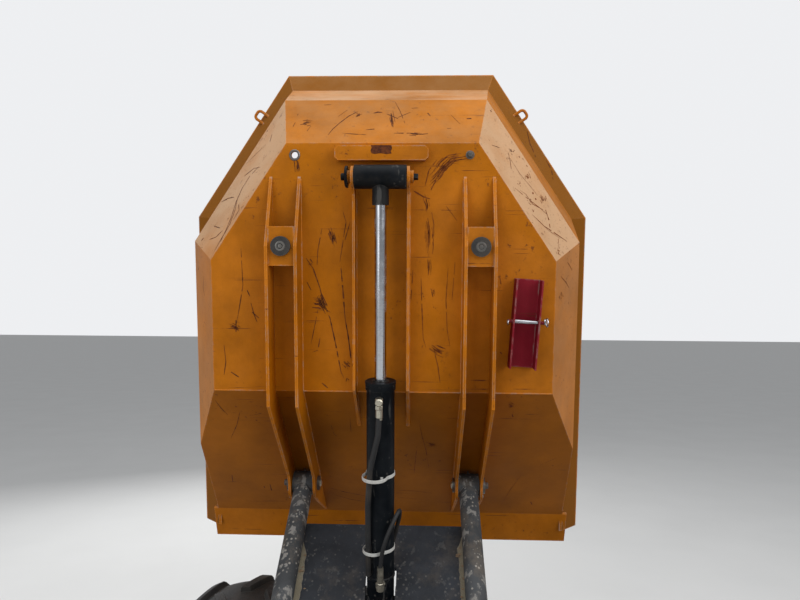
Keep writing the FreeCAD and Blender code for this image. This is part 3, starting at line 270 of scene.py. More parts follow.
def rgb(red, green, blue):
    """A colour given as it shows on screen, 0 to 255."""
    def plain(v):
        v /= 255
        return v / 12.92 if v <= 0.04045 else ((v + 0.055) / 1.055) ** 2.4
    return (plain(red), plain(green), plain(blue), 1.0)


RUST = rgb(92, 48, 24)
BARE = rgb(150, 144, 136)
CLAY = rgb(168, 134, 94)
SOIL = rgb(92, 52, 14)
DUST = rgb(138, 122, 102)


# Sets of fine scratches: turn, marks a metre along and across, and the noise level that shows
SCRATCH_SETS = ((1.45, 1.6, 110, 0.70), (1.75, 2.2, 90, 0.71), (1.25, 1.9, 120, 0.72))


def scraped(name, deep, shallow):
    """The bottom of a scratch: dark rust, lighter where it is shallow."""
    g = Graph(name)
    color = g.mix(deep, shallow, g.spread(g.noise(45.0, 6, 0.7), 0.40, 0.62))
    return g.finish(color, 0.75, 0.0, g.noise(300.0), 0.0004, 0.0, 0.0, 0.2)


def weathered(name, paint, soil, rust, wear, clay, grain=0.5, facets=None):
    """Old paint: faded patches, a film of soil, scratches down to rust, worn edges with a painted highlight, and clay
    dust that also paints sheen on faces that look up.
    """
    g = Graph(name)
    patch = g.noise(2.2, 5, 0.6)
    faded = tuple(min(1.0, c * 1.5 + 0.022) for c in paint[:3]) + (1.0,)
    color = g.mix(paint, faded, g.spread(patch, 0.42, 0.68, 0.45))
    film = g.spread(g.noise(3.1, 9, 0.68), 0.38, 0.66, soil)
    color = g.mix(color, SOIL, film)
    if facets:
        color = facets(g, color)
    marks = None
    for turn, along, across, low in SCRATCH_SETS:
        at = g.where((along, across, across), (0.0, turn, 0.0))
        streak = g.spread(g.noise(1.0, 2, 0.5, at), low, low + 0.02)
        marks = streak if marks is None else g.calc("MAXIMUM", marks, streak)
    broken = g.spread(g.noise(9.0, 4, 0.6), 0.46, 0.58)
    marks = g.calc("MULTIPLY", marks, broken)
    color = g.mix(color, RUST, g.calc("MULTIPLY", marks, 0.55 + 0.4 * rust))
    spots = g.calc("MULTIPLY", g.spread(g.noise(38.0, 6, 0.7), 0.60, 0.67),
                   g.spread(g.noise(2.7, 3), 0.50, 0.62))
    color = g.mix(color, RUST, g.calc("MULTIPLY", spots, rust))
    # Paler paint along sharp edges: rubbed wear, and a painted edge highlight; bare metal where it flakes
    worn = g.edges(0.009)
    color = g.mix(color, faded, g.calc("MULTIPLY", worn, 0.75))
    flaked = g.spread(g.noise(26.0, 5, 0.65), 0.44, 0.62, wear)
    color = g.mix(color, BARE, g.calc("MULTIPLY", worn, flaked))
    # Clay colour on faces that look up: real dust, and painted sheen where the slanted faces catch the light
    dust = g.calc("MULTIPLY", g.spread(g.facing(0.0, 0.0, 1.0), 0.12, 0.75),
                  g.spread(g.noise(6.0, 7, 0.65), 0.30, 0.65, clay))
    color = g.mix(color, CLAY, dust)
    rough = g.calc("ADD", g.spread(patch, 0.2, 0.9, 0.25), grain)
    height = g.calc("ADD", g.calc("MULTIPLY", g.noise(90.0, 4, 0.6), 0.35),
                    g.calc("MULTIPLY", marks, -0.6))
    return g.finish(color, rough, 0.0, height, 0.0012, 0.0, 0.0, 0.10)


def muddy(name, paint, mud, specks, wear, grain=0.6, scuffs=0.60, gloss=0.25):
    """Dark chassis paint under dried splashes, with pale specks and scuffed edges."""
    g = Graph(name)
    patch = g.noise(4.0, 5, 0.6)
    lighter = tuple(c * 1.9 + 0.01 for c in paint[:3]) + (1.0,)
    color = g.mix(paint, lighter, g.spread(patch, 0.40, 0.70))
    crust = g.spread(g.noise(5.0, 10, 0.72), 0.50, 0.60, mud)
    color = g.mix(color, DUST, crust)
    dots = g.spread(g.cells(52.0), 0.30, 0.18)
    dots = g.calc("MULTIPLY", dots, g.spread(g.noise(5.5, 5, 0.7), 0.50, 0.56, specks))
    color = g.mix(color, rgb(205, 198, 186), dots)
    scuff = g.spread(g.noise(1.0, 4, 0.6, g.where((30, 30, 5), (0.3, 0.2, 0.0))),
                     scuffs, scuffs + 0.06, wear)
    color = g.mix(color, rgb(128, 126, 122), scuff)
    edge = g.calc("MULTIPLY", g.edges(0.005), g.spread(g.noise(22.0, 4), 0.42, 0.58, wear))
    color = g.mix(color, BARE, edge)
    height = g.calc("ADD", g.calc("MULTIPLY", crust, 0.8), g.calc("MULTIPLY", g.noise(70.0), 0.3))
    return g.finish(color, g.calc("ADD", g.spread(patch, 0.3, 0.8, 0.2), grain), 0.0, height, 0.002,
                    0.0, 0.0, gloss)


def grained(name, color, scale, rough, depth=0.0006, dirt=0.35, metal=0.0, coat=0.0):
    """Moulded plastic, rubber or cast metal: fine grain and a little dirt in patches."""
    g = Graph(name)
    stain = g.spread(g.noise(5.0, 8, 0.65), 0.42, 0.72, dirt)
    shade = g.mix(color, tuple(c * 1.6 + 0.008 for c in color[:3]) + (1.0,), g.noise(14.0, 5))
    mixed = g.mix(shade, DUST, stain)
    mixed = g.mix(mixed, rgb(120, 116, 110), g.calc("MULTIPLY", g.edges(0.004), 0.35))
    return g.finish(mixed, g.calc("ADD", g.spread(stain, 0.0, 0.4, 0.3), rough), metal,
                    g.cells(scale), depth, coat)


def turned_steel(name, color, rough, grime):
    """Bright or oily steel with fine rings and stains."""
    g = Graph(name)
    rings = g.noise(1.0, 3, 0.5, g.where((40, 40, 420)))
    stain = g.spread(g.noise(11.0, 6, 0.7), 0.48, 0.68, grime)
    mixed = g.mix(g.mix(color, tuple(c * 0.7 for c in color[:3]) + (1.0,), rings), SOIL, stain)
    metal = g.calc("SUBTRACT", 1.0, stain)
    return g.finish(mixed, g.calc("ADD", stain, rough), metal, rings, 0.0002)


def lens(name, color):
    g = Graph(name)
    ribs = g.noise(1.0, 0, 0.5, g.where((8, 8, 120)))
    return g.finish(g.mix(color, tuple(c * 0.55 for c in color[:3]) + (1.0,), ribs), 0.12, 0.0, ribs,
                    0.001, 0.6)


def tread_plate(name, color):
    """Dark floor sheet with raised dashes in two directions, worn bright on top."""
    g = Graph(name)
    dashes = None
    for turn, start in ((REAR_TURN + 0.785, 0.0), (REAR_TURN - 0.785, 0.5)):
        at = g.where((26, 62, 1), (0, 0, turn), (start, start, 0))
        bar = g.spread(g.cells(1.0, at), 0.34, 0.26)
        dashes = bar if dashes is None else g.calc("MAXIMUM", dashes, bar)
    dirt = g.spread(g.noise(6.0, 8, 0.7), 0.42, 0.62, 0.7)
    color = g.mix(color, rgb(120, 118, 114), g.calc("MULTIPLY", dashes, 0.7))
    return g.finish(g.mix(color, DUST, dirt), 0.62, 0.0, dashes, 0.0025)


def vinyl(name, color):
    """Black seat vinyl: fine leather grain, dusty in the folds."""
    g = Graph(name)
    grain = g.calc("MULTIPLY", g.cells(420.0), 0.6)
    dust = g.spread(g.noise(7.0, 6, 0.6), 0.45, 0.75, 0.25)
    return g.finish(g.mix(color, rgb(120, 110, 96), dust), 0.55, 0.0, grain, 0.0007, 0.0, 0.2)


def shell_facets(g, color):
    """The shell's own wear, with painted glare and painted shade, by where each face looks on the skip and in the
    tipped pose.
    """
    def both(first, *others):
        for other in others:
            first = g.calc("MULTIPLY", first, other)
        return first

    down = g.facing(*direction(skip, 0, 0, -1))
    across = g.calc("ABSOLUTE", g.facing(*direction(skip, 0, 1, 0)))
    behind = g.facing(*direction(skip, -1, 0, 0))
    # Paler diagonal and side facets, by how they face in the tipped pose: pale dust, and painted glare from the sky
    band = both(g.spread(down, 0.38, 0.46), g.calc("SUBTRACT", 1.0, g.spread(down, 0.62, 0.67)))
    pale = both(band, g.spread(across, 0.28, 0.45), g.calc("ADD", g.spread(behind, 0.05, 0.35, 0.72), 0.28),
                g.spread(g.noise(2.6, 6, 0.6), 0.20, 0.58, 0.78))
    color = g.mix(color, rgb(200, 166, 132), pale)
    # Pale on the rear wall, which lies flat here: dust, and a painted highlight where it faces up to the light
    wall = both(g.spread(g.facing(0.0, 0.0, 1.0), 0.78, 0.86), g.spread(g.noise(2.4, 7, 0.65), 0.34, 0.62, 0.48))
    color = g.mix(color, rgb(222, 192, 160), wall)
    # Darker rim under the lip
    rim = both(g.spread(down, 0.70, 0.745), g.calc("SUBTRACT", 1.0, g.spread(down, 0.84, 0.90)),
               g.spread(behind, -0.30, -0.10, 0.88))
    color = g.mix(color, rgb(122, 74, 12), rim)
    # Scoured inside: worn steel, rust and soil
    scoured = g.mix(rgb(122, 112, 102), rgb(104, 62, 34), g.spread(g.noise(3.5, 8, 0.65), 0.40, 0.60))
    scoured = g.mix(scoured, rgb(132, 108, 80), g.spread(g.noise(1.7, 6, 0.6), 0.45, 0.60, 0.7))
    inside = both(g.spread(down, -0.04, -0.12), g.spread(g.noise(1.3, 8, 0.62), 0.34, 0.54, 0.92))
    color = g.mix(color, scoured, inside)
    # Painted shade in soil colour on faces that look down, most on the ramp's underside
    return g.mix(color, SOIL, g.spread(g.facing(0.0, 0.0, -1.0), 0.50, 0.72, 0.32))


YELLOW = (176, 102, 2)
# Name, maker, main colour and the maker's other values
MATERIALS = {name: make(name, rgb(*color), *rest) for name, make, color, *rest in (
    ("skip_paint", weathered, YELLOW, 0.40, 0.85, 0.8, 0.40),
    ("shell_paint", weathered, YELLOW, 0.40, 0.85, 0.8, 0.34, 0.5, shell_facets),
    ("body_paint", weathered, (205, 130, 10), 0.22, 0.3, 0.6, 0.3, 0.38),
    ("rim_paint", weathered, (196, 122, 12), 0.45, 0.5, 0.6, 0.5),
    ("lock_red", weathered, (116, 4, 28), 0.1, 0.3, 0.8, 0.2, 0.4),
    ("chassis_paint", muddy, (34, 37, 42), 0.12, 0.25, 0.9),
    ("cast_metal", muddy, (40, 41, 44), 0.6, 0.3, 0.5, 0.65),
    ("ram_paint", muddy, (4, 8, 13), 0.03, 0.08, 0.2, 0.42, 0.62, 0.12),
    ("plate_paint", muddy, (36, 39, 44), 0.10, 0.10, 0.15),
    # Rail paint: lighter than the chassis paint, partly scraped wear, partly painted light where the rails' tops catch
    # it
    ("rail_paint", muddy, (58, 60, 62), 0.26, 0.40, 1.0, 0.6, 0.55),
    ("rod_chrome", turned_steel, (205, 208, 214), 0.14, 0.25),
    ("pin_steel", turned_steel, (120, 118, 114), 0.35, 0.7),
    ("zinc_plate", turned_steel, (206, 200, 182), 0.38, 0.25),
    ("rubber_black", grained, (19, 19, 20), 260.0, 0.62, 0.0006, 0.22),
    ("tyre_rubber", grained, (15, 16, 18), 130.0, 0.72, 0.0012, 0.16),
    ("plastic_dark", grained, (32, 33, 35), 320.0, 0.48),
    ("dial_face", grained, (196, 196, 190), 300.0, 0.35, 0.0001, 0.1),
    ("mud", grained, (112, 92, 70), 90.0, 0.9, 0.003, 0.3),
    ("dried_soil", grained, (104, 98, 82), 120.0, 0.9, 0.002, 0.3),
    ("tie_plastic", grained, (178, 178, 174), 300.0, 0.45, 0.0003, 0.3),
    ("lens_amber", lens, (240, 140, 20)),
    ("lens_red", lens, (170, 22, 18)),
    ("scraped", scraped, (58, 26, 14), rgb(112, 58, 22)),
    ("soft_rust", scraped, (96, 44, 12), rgb(132, 70, 16)),
    ("tread_plate", tread_plate, (52, 53, 55)),
    ("seat_vinyl", vinyl, (34, 34, 36)),
)}
# Nodes that wear another material than their record's slot
OWN_MATERIAL = {"operator_floor": "tread_plate", "cradle_plate": "plate_paint", "cradle_rails": "rail_paint",
                "skip_shell": "shell_paint"}


def dress_frame():
    """Gives every CAD node its weathered material."""
    slots = {row["node"]: row["material_slot"] for row in frame["record"]["subparts"]}
    for name, obj in NODES.items():
        obj.data.materials.clear()
        obj.data.materials.append(MATERIALS[OWN_MATERIAL.get(name, slots[name])])


# Mesh helpers
def new_piece(name, body, material, mesh_maker, smooth=None):
    """A mesh piece made by mesh_maker(bm), riding on a body; smooth is the crease angle in degrees."""
    bm = bmesh.new()
    mesh_maker(bm)
    bmesh.ops.recalc_face_normals(bm, faces=bm.faces)
    mesh = bpy.data.meshes.new(name)
    bm.to_mesh(mesh)
    bm.free()
    piece = bpy.data.objects.new(name, mesh)
    bpy.context.scene.collection.objects.link(piece)
    mesh.materials.append(MATERIALS[material])
    if smooth is not None:
        mesh.polygons.foreach_set("use_smooth", [True] * len(mesh.polygons))
        mesh.set_sharp_from_angle(angle=math.radians(smooth))
    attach(piece, body)
    return piece


def frame_along(axis):
    """Two directions across an axis."""
    axis = axis.normalized()
    side = axis.cross(Vector((0, 0, 1)) if abs(axis.z) < 0.9 else Vector((1, 0, 0))).normalized()
    return side, axis.cross(side)


def ring_of(bm, centre, axis, radius, count, turn=0.0):
    side, up = frame_along(axis)
    return [bm.verts.new(centre + radius * (math.cos(a) * side + math.sin(a) * up))
            for a in (turn + 2 * math.pi * i / count for i in range(count))]


def bridge(bm, one, two):
    for i in range(len(one)):
        j = (i + 1) % len(one)
        bm.faces.new((one[i], one[j], two[j], two[i]))


def join(bm, rings, ends="caps"):
    """Walls between neighbouring rings; the ends get caps, are joined as well, or stay open."""
    for one, two in zip(rings, rings[1:]):
        bridge(bm, one, two)
    if ends == "joined":
        bridge(bm, rings[-1], rings[0])
    elif ends == "caps":
        bm.faces.new(rings[0])
        bm.faces.new(rings[-1])


def lathe(bm, start, axis, profile, count=32, turn=0.0, hollow=False):
    """A body turned about an axis, from (distance along, radius) points; a hollow one is a ring."""
    axis = axis.normalized()
    rings = [ring_of(bm, start + axis * along, axis, radius, count, turn) for along, radius in profile]
    join(bm, rings, "joined" if hollow else "caps")


def turned(bm, start, axis, steps, *rest):
    """A lathe body from distances along and radii in turn, given in millimetres."""
    lathe(bm, start, axis, [(steps[i] / 1000, steps[i + 1] / 1000) for i in range(0, len(steps), 2)], *rest)


def sides(place):
    """Both sides of a place: the sign of y there, and the direction outward."""
    return [(sign, direction(place, 0, sign, 0)) for sign in (-1, 1)]


def circle(count, radius, start=0.0):
    """Evenly spaced spots on a circle; start moves the first by a share of the spacing."""
    angles = [2 * math.pi * (i + start) / count for i in range(count)]
    return [(radius * math.cos(a), radius * math.sin(a)) for a in angles]


def bolt(bm, place, axis, size):
    """A washer, a chamfered hexagon head and the thread's end; size is the head's radius."""
    lathe(bm, place, axis, [(0, size * 1.45), (size * 0.22, size * 1.45), (size * 0.28, size * 1.35)], 20)
    lathe(bm, place + axis.normalized() * size * 0.28, axis,
          [(0, size), (size * 0.75, size), (size * 0.9, size * 0.82)], 6)


def tube(bm, points, radius, count=10, closed=False):
    """A round tube along points, each cross-section set square to the line."""
    rings = []
    last = len(points) - 1
    side = None
    for i, point in enumerate(points):
        before = points[i - 1] if i or closed else point
        after = points[(i + 1) % len(points)] if i < last or closed else point
        ahead = (after - before).normalized()
        if side is None:
            side = frame_along(ahead)[0]
        side = (side - ahead * side.dot(ahead)).normalized()
        up = ahead.cross(side)
        rings.append([bm.verts.new(point + radius * (math.cos(a) * side + math.sin(a) * up))
                      for a in (2 * math.pi * k / count for k in range(count))])
    join(bm, rings, "joined" if closed else "caps")


def bead(bm, start, end, radius, seed=0):
    """A weld bead: a tube whose scallops and width wander a little."""
    chance = random.Random(seed)
    steps = max(4, int((end - start).length / (radius * 1.3)))
    axis = (end - start).normalized()
    rings = []
    for i in range(steps + 1):
        size = radius * (0.82 + 0.30 * (i % 2) + 0.2 * chance.random())
        rings.append(ring_of(bm, start.lerp(end, i / steps), axis, size, 6))
    join(bm, rings, "open")


def arc_points(centre, one, two, radius, start, end, steps):
    """Points on an arc in the plane of two directions, angles in degrees."""
    return [centre + radius * (math.cos(a) * one + math.sin(a) * two)
            for a in (math.radians(start + (end - start) * i / steps) for i in range(steps + 1))]


def slab(bm, corners, depth):
    """A prism from a flat outline and the vector to its other face."""
    low = [bm.verts.new(c) for c in corners]
    high = [bm.verts.new(c + depth) for c in corners]
    bm.faces.new(low)
    bm.faces.new(high)
    bridge(bm, low, high)


# Skip: welds, fastenings, lock clips and the ram's eye
RIB_SIDES = (0.318, 0.442)
SPINE_SIDES = (0.100, 0.110)
RAMP_START = -0.516
RAMP_RISE = math.tan(math.radians(37.3))


def ramp_c(a):
    return FLOOR_C + max(0.0, a - RAMP_START) * RAMP_RISE


# The shell's outline at four heights: height, then its reach at the rear, on the diagonals and at the sides
SKIP_LEVELS = ((-0.318, 1.499, 1.152, 0.683), (-0.084, 1.716, 1.318, 0.833), (0.281, 1.847, 1.428, 0.886),
               (0.345, 1.935, 1.504, 0.974))
DIAGONAL = math.radians(34.2)


def skin_c(a, b):
    """Height of the shell's outer skin over a place on the lowered skip."""
    reach = (-a, abs(b) * math.cos(DIAGONAL) - a * math.sin(DIAGONAL), abs(b))
    bands = [max(low[0] + (far - near_end) * (high[0] - low[0]) / (far_end - near_end)
                 for far, near_end, far_end in zip(reach, low[1:], high[1:]))
             for low, high in zip(SKIP_LEVELS, SKIP_LEVELS[1:])]
    if any(far > top for far, top in zip(reach, SKIP_LEVELS[2][1:])):
        return bands[2]
    return max(ramp_c(a), bands[0], bands[1])


# Weld lines under the skip: from, to (a, c by the floor or ramp) and the side's distance
WELDS = [(-1.36, RAMP_START, b) for b in RIB_SIDES] + [(RAMP_START, 0.05, b) for b in RIB_SIDES]
WELDS += [(-1.31, RAMP_START, b) for b in SPINE_SIDES] + [(RAMP_START, -0.335, b) for b in SPINE_SIDES]


def fold_welds(bm):
    """Ground-down weld lines along the folds between floor, ramp and the rear facets."""
    runs = [((RAMP_START, -0.68), (RAMP_START, -0.445)), ((RAMP_START, -0.315), (RAMP_START, -0.113)),
            ((RAMP_START, -0.098), (RAMP_START, 0.098)), ((RAMP_START, 0.113), (RAMP_START, 0.315)),
            ((RAMP_START, 0.445), (RAMP_START, 0.68))]
    for i, ((a0, b0), (a1, b1)) in enumerate(runs):
        bead(bm, skip(a0, b0, FLOOR_C), skip(a1, b1, FLOOR_C), 0.0028, 50 + i)


def skip_welds(bm):
    for i, (start, end, b) in enumerate(WELDS):
        for sign in (-1, 1):
            bead(bm, skip(start, sign * b, ramp_c(start)), skip(end, sign * b, ramp_c(end)),
                 0.0035, i)


def skip_fastenings(bm):
    """Buffer bolts, keeper bolts at the tipping pins, bolts at the ram's eye pin."""
    for sign, side in sides(skip):
        at = skip(-1.1, sign * 0.38, -0.4199)
        turned(bm, at, SKIP_OUT, (0, 19, 0.8, 19, 1.2, 18, 1.2, 12, 0.8, 11, 0, 11), 40, 0.0, True)
        turned(bm, at, SKIP_OUT, (0, 8.5, 1.2, 8.5, 1.4, 7.5), 6)
        bolt(bm, skip(0.0, sign * 0.4555, 0.0), side, 0.015)
        for turn in range(3):
            angle = math.radians(90 + 120 * turn)
            bolt(bm, skip(0.048 * math.cos(angle), sign * 0.4415, 0.048 * math.sin(angle)), side, 0.007)


def header_notch(bm):
    """A thin dark patch in the middle of the header bar."""
    edge = [(-1.4840, 0.040), (-1.4840, -0.038), (-1.4720, -0.041), (-1.4610, -0.036), (-1.4530, -0.039),
            (-1.4505, -0.020), (-1.4540, 0.004), (-1.4510, 0.022), (-1.4535, 0.037), (-1.4640, 0.041),
            (-1.4750, 0.037)]
    slab(bm, [skip(a, b, -0.3578) for a, b in edge], SKIP_OUT * 0.0009)


def eye_pin(bm):
    """Black heads on the pin at the ram's eye: a flanged one at the left, a square one at the right."""
    left = direction(skip, 0, 1, 0)
    turned(bm, skip(-1.36, 0.1235, -0.403), left, (0, 41, 7, 41, 10, 37, 10, 14, 24, 14, 26, 11), 32)
    turned(bm, skip(-1.36, -0.1235, -0.403), -left, (0, 16, 3, 16, 3, 12.5, 16, 12.5, 18, 10), 4, 0.5)


def pin_caps(bm):
    """Bright caps on the inner ends of the tipping pins."""
    for sign, side in sides(skip):
        turned(bm, skip(0.0, sign * 0.3078, 0.0), -side, (0, 16.5, 3, 16.5, 6, 13, 8, 7), 24)


def corner_fittings(bm):
    """A worn ring round the open corner hole, and the bolt that closes the other one."""
    turned(bm, skip(-1.453, 0.341, FLOOR_C), SKIP_OUT, (0, 21.5, 1.8, 21.5, 3, 19.5, 3, 14.5, 0, 12.8), 32, 0.0, True)
    bolt(bm, skip(-1.453, -0.341, FLOOR_C), SKIP_OUT, 0.0115)


def lock_clips(bm):
    """A ring clip at each end of the lock's pin, the pin's head and its bare middle."""
    along = direction(skip, 1, 0, 0)
    for b, size in ((-0.641, 0.017), (-0.492, 0.010)):
        centre = skip(-0.81, b, -0.358) + SKIP_OUT * size
        tube(bm, arc_points(centre, along, SKIP_OUT, size, 0, 345, 22), 0.0022, 8, True)
    turned(bm, skip(-0.81, -0.633, -0.358), direction(skip, 0, -1, 0), (0, 12, 6, 12, 8, 9), 20)
    bare = skip(-0.80726, -0.60803, -0.358)
    reach = skip(-0.8127, -0.51919, -0.358) - bare
    lathe(bm, bare, reach, [(0, 0.0078), (reach.length, 0.0078)], 20)


# Scratches and scuffs that the photograph shows under the skip: width in tenths of a millimetre, then the
# points' a and b in turn, in millimetres. A wide scuff is drawn as a bundle of fine streaks.
WIDE_SCUFF = 0.011
SCRATCHES = (
    (50, -1091, 560, -944, 555, -844, 573, -779, 587), (160, -787, 607, -779, 587, -767, 571),
    (70, -803, 586, -754, 587), (60, -872, 524, -828, 513, -796, 501), (80, -836, 521, -812, 493),
    (60, -701, 637, -632, 631, -578, 640), (80, -591, 611, -570, 579), (60, -924, 539, -900, 528),
    (50, -1171, 236, -1085, 253, -1025, 257), (220, -1159, 201, -1132, 193, -1112, 189),
    (70, -1053, 301, -1013, 273, -934, 246, -866, 231), (120, -1037, 293, -1021, 281),
    (240, -874, 271, -870, 239, -854, 215), (180, -910, 250, -878, 239, -846, 223),
    (80, -862, 227, -814, 207, -705, 184, -596, 164, -571, 152), (90, -1014, 162, -919, 154, -815, 147),
    (100, -815, 147, -746, 135, -653, 124, -604, 112), (50, -1234, 153, -1195, 141, -1124, 153, -1038, 166),
    (50, -1195, 125, -1124, 146), (50, -846, 255, -765, 272, -709, 284),
    (60, -733, 248, -684, 256, -676, 277), (80, -550, 241, -529, 217), (50, -958, 298, -926, 282),
    (140, -637, 152, -612, 128), (60, -543, 148, -571, 140, -563, 132),
    (300, -1445, -325, -1438, -271, -1411, -241, -1373, -214, -1342, -183),
    (100, -1426, -252, -1396, -233, -1358, -210, -1319, -191), (70, -1434, -213, -1396, -183, -1335, -168),
    (100, -1315, -125, -1292, -164, -1285, -188), (140, -1300, -164, -1265, -176, -1234, -176),
    (220, -1211, -180, -1165, -189, -1118, -189, -1079, -185), (120, -1063, -186, -1024, -190, -976, -186),
    (60, -1008, -123, -889, -116), (70, -976, -155, -849, -160, -737, -165, -697, -177),
    (50, -1016, -261, -890, -254, -770, -260, -706, -272), (40, -1040, -288, -890, -278),
    (180, -705, -197, -689, -221, -677, -249), (60, -689, -209, -624, -225, -559, -234),
    (120, -937, -199, -905, -207), (50, -1258, -250, -1227, -274, -1200, -294),
    (80, -684, -471, -676, -479), (100, -978, -465, -955, -469), (50, -463, 694, -420, 681, -382, 662),
    (40, -399, 606, -325, 638, -246, 685), (40, -378, 573, -395, 513),
    (50, -333, 227, -280, 220, -244, 189), (40, -374, 141, -293, 144), (60, 84, 282, 113, 211, 141, 109),
    (40, 130, 278, 167, 192, 188, 107), (60, 91, -52, 96, -135, 109, -218), (40, 144, -45, 164, -185),
    (140, -227, -192, -215, -223), (50, -368, -151, -275, -165, -189, -184, -57, -200),
    (50, -214, -143, -28, -130), (160, -462, -513, -452, -539), (100, -408, -537, -392, -544),
    (40, 193, -567, 76, -596, -40, -635), (40, -103, -708, -151, -771), (100, 149, -704, 188, -721),
    (100, 62, 575, 123, 577), (70, 1, 746, 52, 755), (80, 78, 608, 93, 606),
    (140, -1430, 336, -1411, 332, -1388, 331),
    (70, -1537, 216, -1566, 201, -1597, 177, -1631, 145, -1655, 110), (120, -1628, 122, -1639, 100),
    (90, -1646, 45, -1651, 27, -1649, 9), (140, -1655, -26, -1610, -35, -1573, -43),
    (40, -1708, -40, -1656, -64, -1593, -86), (40, -1623, -57, -1650, -107), (60, -1641, -11, -1617, -57),
    (60, -1545, -44, -1545, -107, -1539, -147, -1544, -194), (120, -1543, -111, -1538, -156),
    (40, -1546, 162, -1541, 114, -1538, 66), (60, -1562, 68, -1565, 35), (180, -1596, 327, -1602, 296),
    (50, -1578, 364, -1598, 359), (50, -1627, 362, -1643, 356), (40, -1556, 303, -1581, 292),
    (30, -1628, 189, -1672, 146), (70, -1646, -177, -1630, -189), (100, -1616, -335, -1617, -354),
    (30, -1635, -273, -1589, -307), (30, -1565, -238, -1568, -270), (30, -1690, 256, -1692, 227),
    (50, -1671, -111, -1673, -139), (160, -1497, -523, -1489, -528), (180, -1398, -592, -1383, -600),
    (120, -1359, -544, -1351, -546), (200, -1309, -658, -1284, -662), (100, -1324, -610, -1315, -611),
    (100, -1299, -620, -1291, -622), (140, -1283, -585, -1280, -595), (80, -1247, -598, -1239, -601),
    (180, -1090, -699, -1079, -703), (100, -1442, -596, -1435, -599), (80, -1668, -441, -1661, -444),
    (40, -1484, -507, -1449, -513, -1410, -514), (40, -1502, -433, -1497, -470),
    (50, -1331, -522, -1291, -581, -1258, -637, -1233, -671), (80, -1252, -666, -1210, -676, -1177, -676),
    (60, -1228, -591, -1184, -645, -1153, -704, -1123, -759),
    (40, -1325, -546, -1310, -573, -1272, -600, -1252, -652), (30, -1170, -718, -1098, -706),
    (30, -1214, -609, -1168, -663, -1135, -722), (30, -1460, -514, -1396, -555, -1349, -600, -1311, -634),
    (60, -1038, -754, -1018, -774, -1003, -786), (60, -983, -714, -956, -748, -931, -769),
    (120, -914, -714, -896, -727), (80, -1665, -672, -1598, -684, -1569, -698, -1522, -715),
    (90, -1523, -770, -1476, -796, -1427, -801),
    (60, -1422, 507, -1386, 552, -1337, 584, -1278, 605, -1211, 613, -1163, 628, -1116, 646),
    (50, -1417, 498, -1418, 537, -1391, 589, -1359, 604), (40, -1528, 471, -1561, 468),
    (80, -1287, 707, -1300, 667, -1301, 626),
    (60, -1302, 600, -1244, 599, -1186, 611, -1111, 654, -1078, 671),
    (50, -1290, 594, -1242, 573, -1204, 595), (60, -1125, 726, -1135, 684, -1161, 650),
    (100, -1121, 783, -1132, 772), (30, -1519, 493, -1485, 544, -1448, 597), (60, -1182, 718, -1172, 672),
    (60, -1010, 798, -994, 807), (50, -973, 749, -922, 761, -890, 747),
)


def is_faint(corners):
    """Marks on the right of floor and ramp are soft rust; the others are dark."""
    a, b = corners[0]
    return b < 0.10 and a > -1.47


def streaks(faint):
    """The marks as thin streaks: a wide scuff becomes a bundle of fine ones."""
    chance = random.Random(9)
    for width, *flat in SCRATCHES:
        width /= 10000
        corners = [(flat[i] / 1000, flat[i + 1] / 1000) for i in range(0, len(flat), 2)]
        if is_faint(corners) != faint:
            continue
        if width < WIDE_SCUFF:
            yield width * 0.62, corners
            continue
        for _ in range(int(width * 900)):
            first = chance.uniform(0.0, 0.45)
            last = chance.uniform(0.55, 1.0)
            a, b = chance.gauss(0, width * 0.45), chance.gauss(0, width * 0.45)
            moved = [(x + a, y + b) for x, y in corners]
            count = len(moved) - 1
            ends = [min(count - 1e-6, t * count) for t in (first, last)]
            spots = [moved[int(t)][k] * (1 - t % 1) + moved[int(t) + 1][k] * (t % 1)
                     for t in ends for k in (0, 1)]
            inner = [moved[i] for i in range(len(moved)) if ends[0] < i < ends[1]]
            yield chance.uniform(0.0012, 0.0034), [tuple(spots[:2])] + inner + [tuple(spots[2:])]


def scratches(bm, faint=False):
    """Thin ribbons a hair above the paint; each narrows towards its ends and its edges wander."""
    chance = random.Random(5)
    for width, corners in streaks(faint):
        spots = []
        for (a0, b0), (a1, b1) in zip(corners, corners[1:]):
            steps = max(2, int(math.hypot(a1 - a0, b1 - b0) / 0.012))
            spots += [(a0 + (a1 - a0) * i / steps, b0 + (b1 - b0) * i / steps) for i in range(steps)]
        spots.append(corners[-1])
        last = None
        for i, (a, b) in enumerate(spots):
            a1, b1 = spots[min(i + 1, len(spots) - 1)]
            a0, b0 = spots[max(i - 1, 0)]
            long = math.hypot(a1 - a0, b1 - b0) or 1.0
            swell = math.sin(math.pi * (i + 0.6) / (len(spots) + 0.2)) ** 0.5
            half = width * swell * chance.uniform(0.25, 0.62)
            pair = []
            for sign in (-1, 1):
                x = a - sign * (b1 - b0) / long * half
                y = b + sign * (a1 - a0) / long * half
                pair.append(bm.verts.new(skip(x, y, skin_c(x, y) - 0.0008)))
            if last and chance.random() < 0.93:
                bm.faces.new((last[0], last[1], pair[1], pair[0]))
            last = pair


# Tipping ram, drawn from its foot pin
RAM_FOOT = Vector(JOINTS["ram_swing"]["pos_m"])
RAM_ALONG = Vector(JOINTS["ram_slide"]["axis"])
RAM_BACK = Vector((0.0, -RAM_ALONG.z, RAM_ALONG.y))
GLAND = 0.918
STEM_START = 1.405
# The lower port's hose: up the front of the barrel, round its right and back down behind
LOW_HOSE = ((-0.082, -0.004, 0.170), (-0.082, -0.006, 0.240), (-0.082, -0.026, 0.315), (-0.060, -0.056, 0.380),
            (-0.022, -0.078, 0.412), (0.020, -0.076, 0.360), (0.048, -0.058, 0.270), (0.058, -0.038, 0.205),
            (0.070, -0.004, 0.160))


def ram(x, y, z):
    return RAM_FOOT + RAM_BACK * x + Vector((1, 0, 0)) * y + RAM_ALONG * z


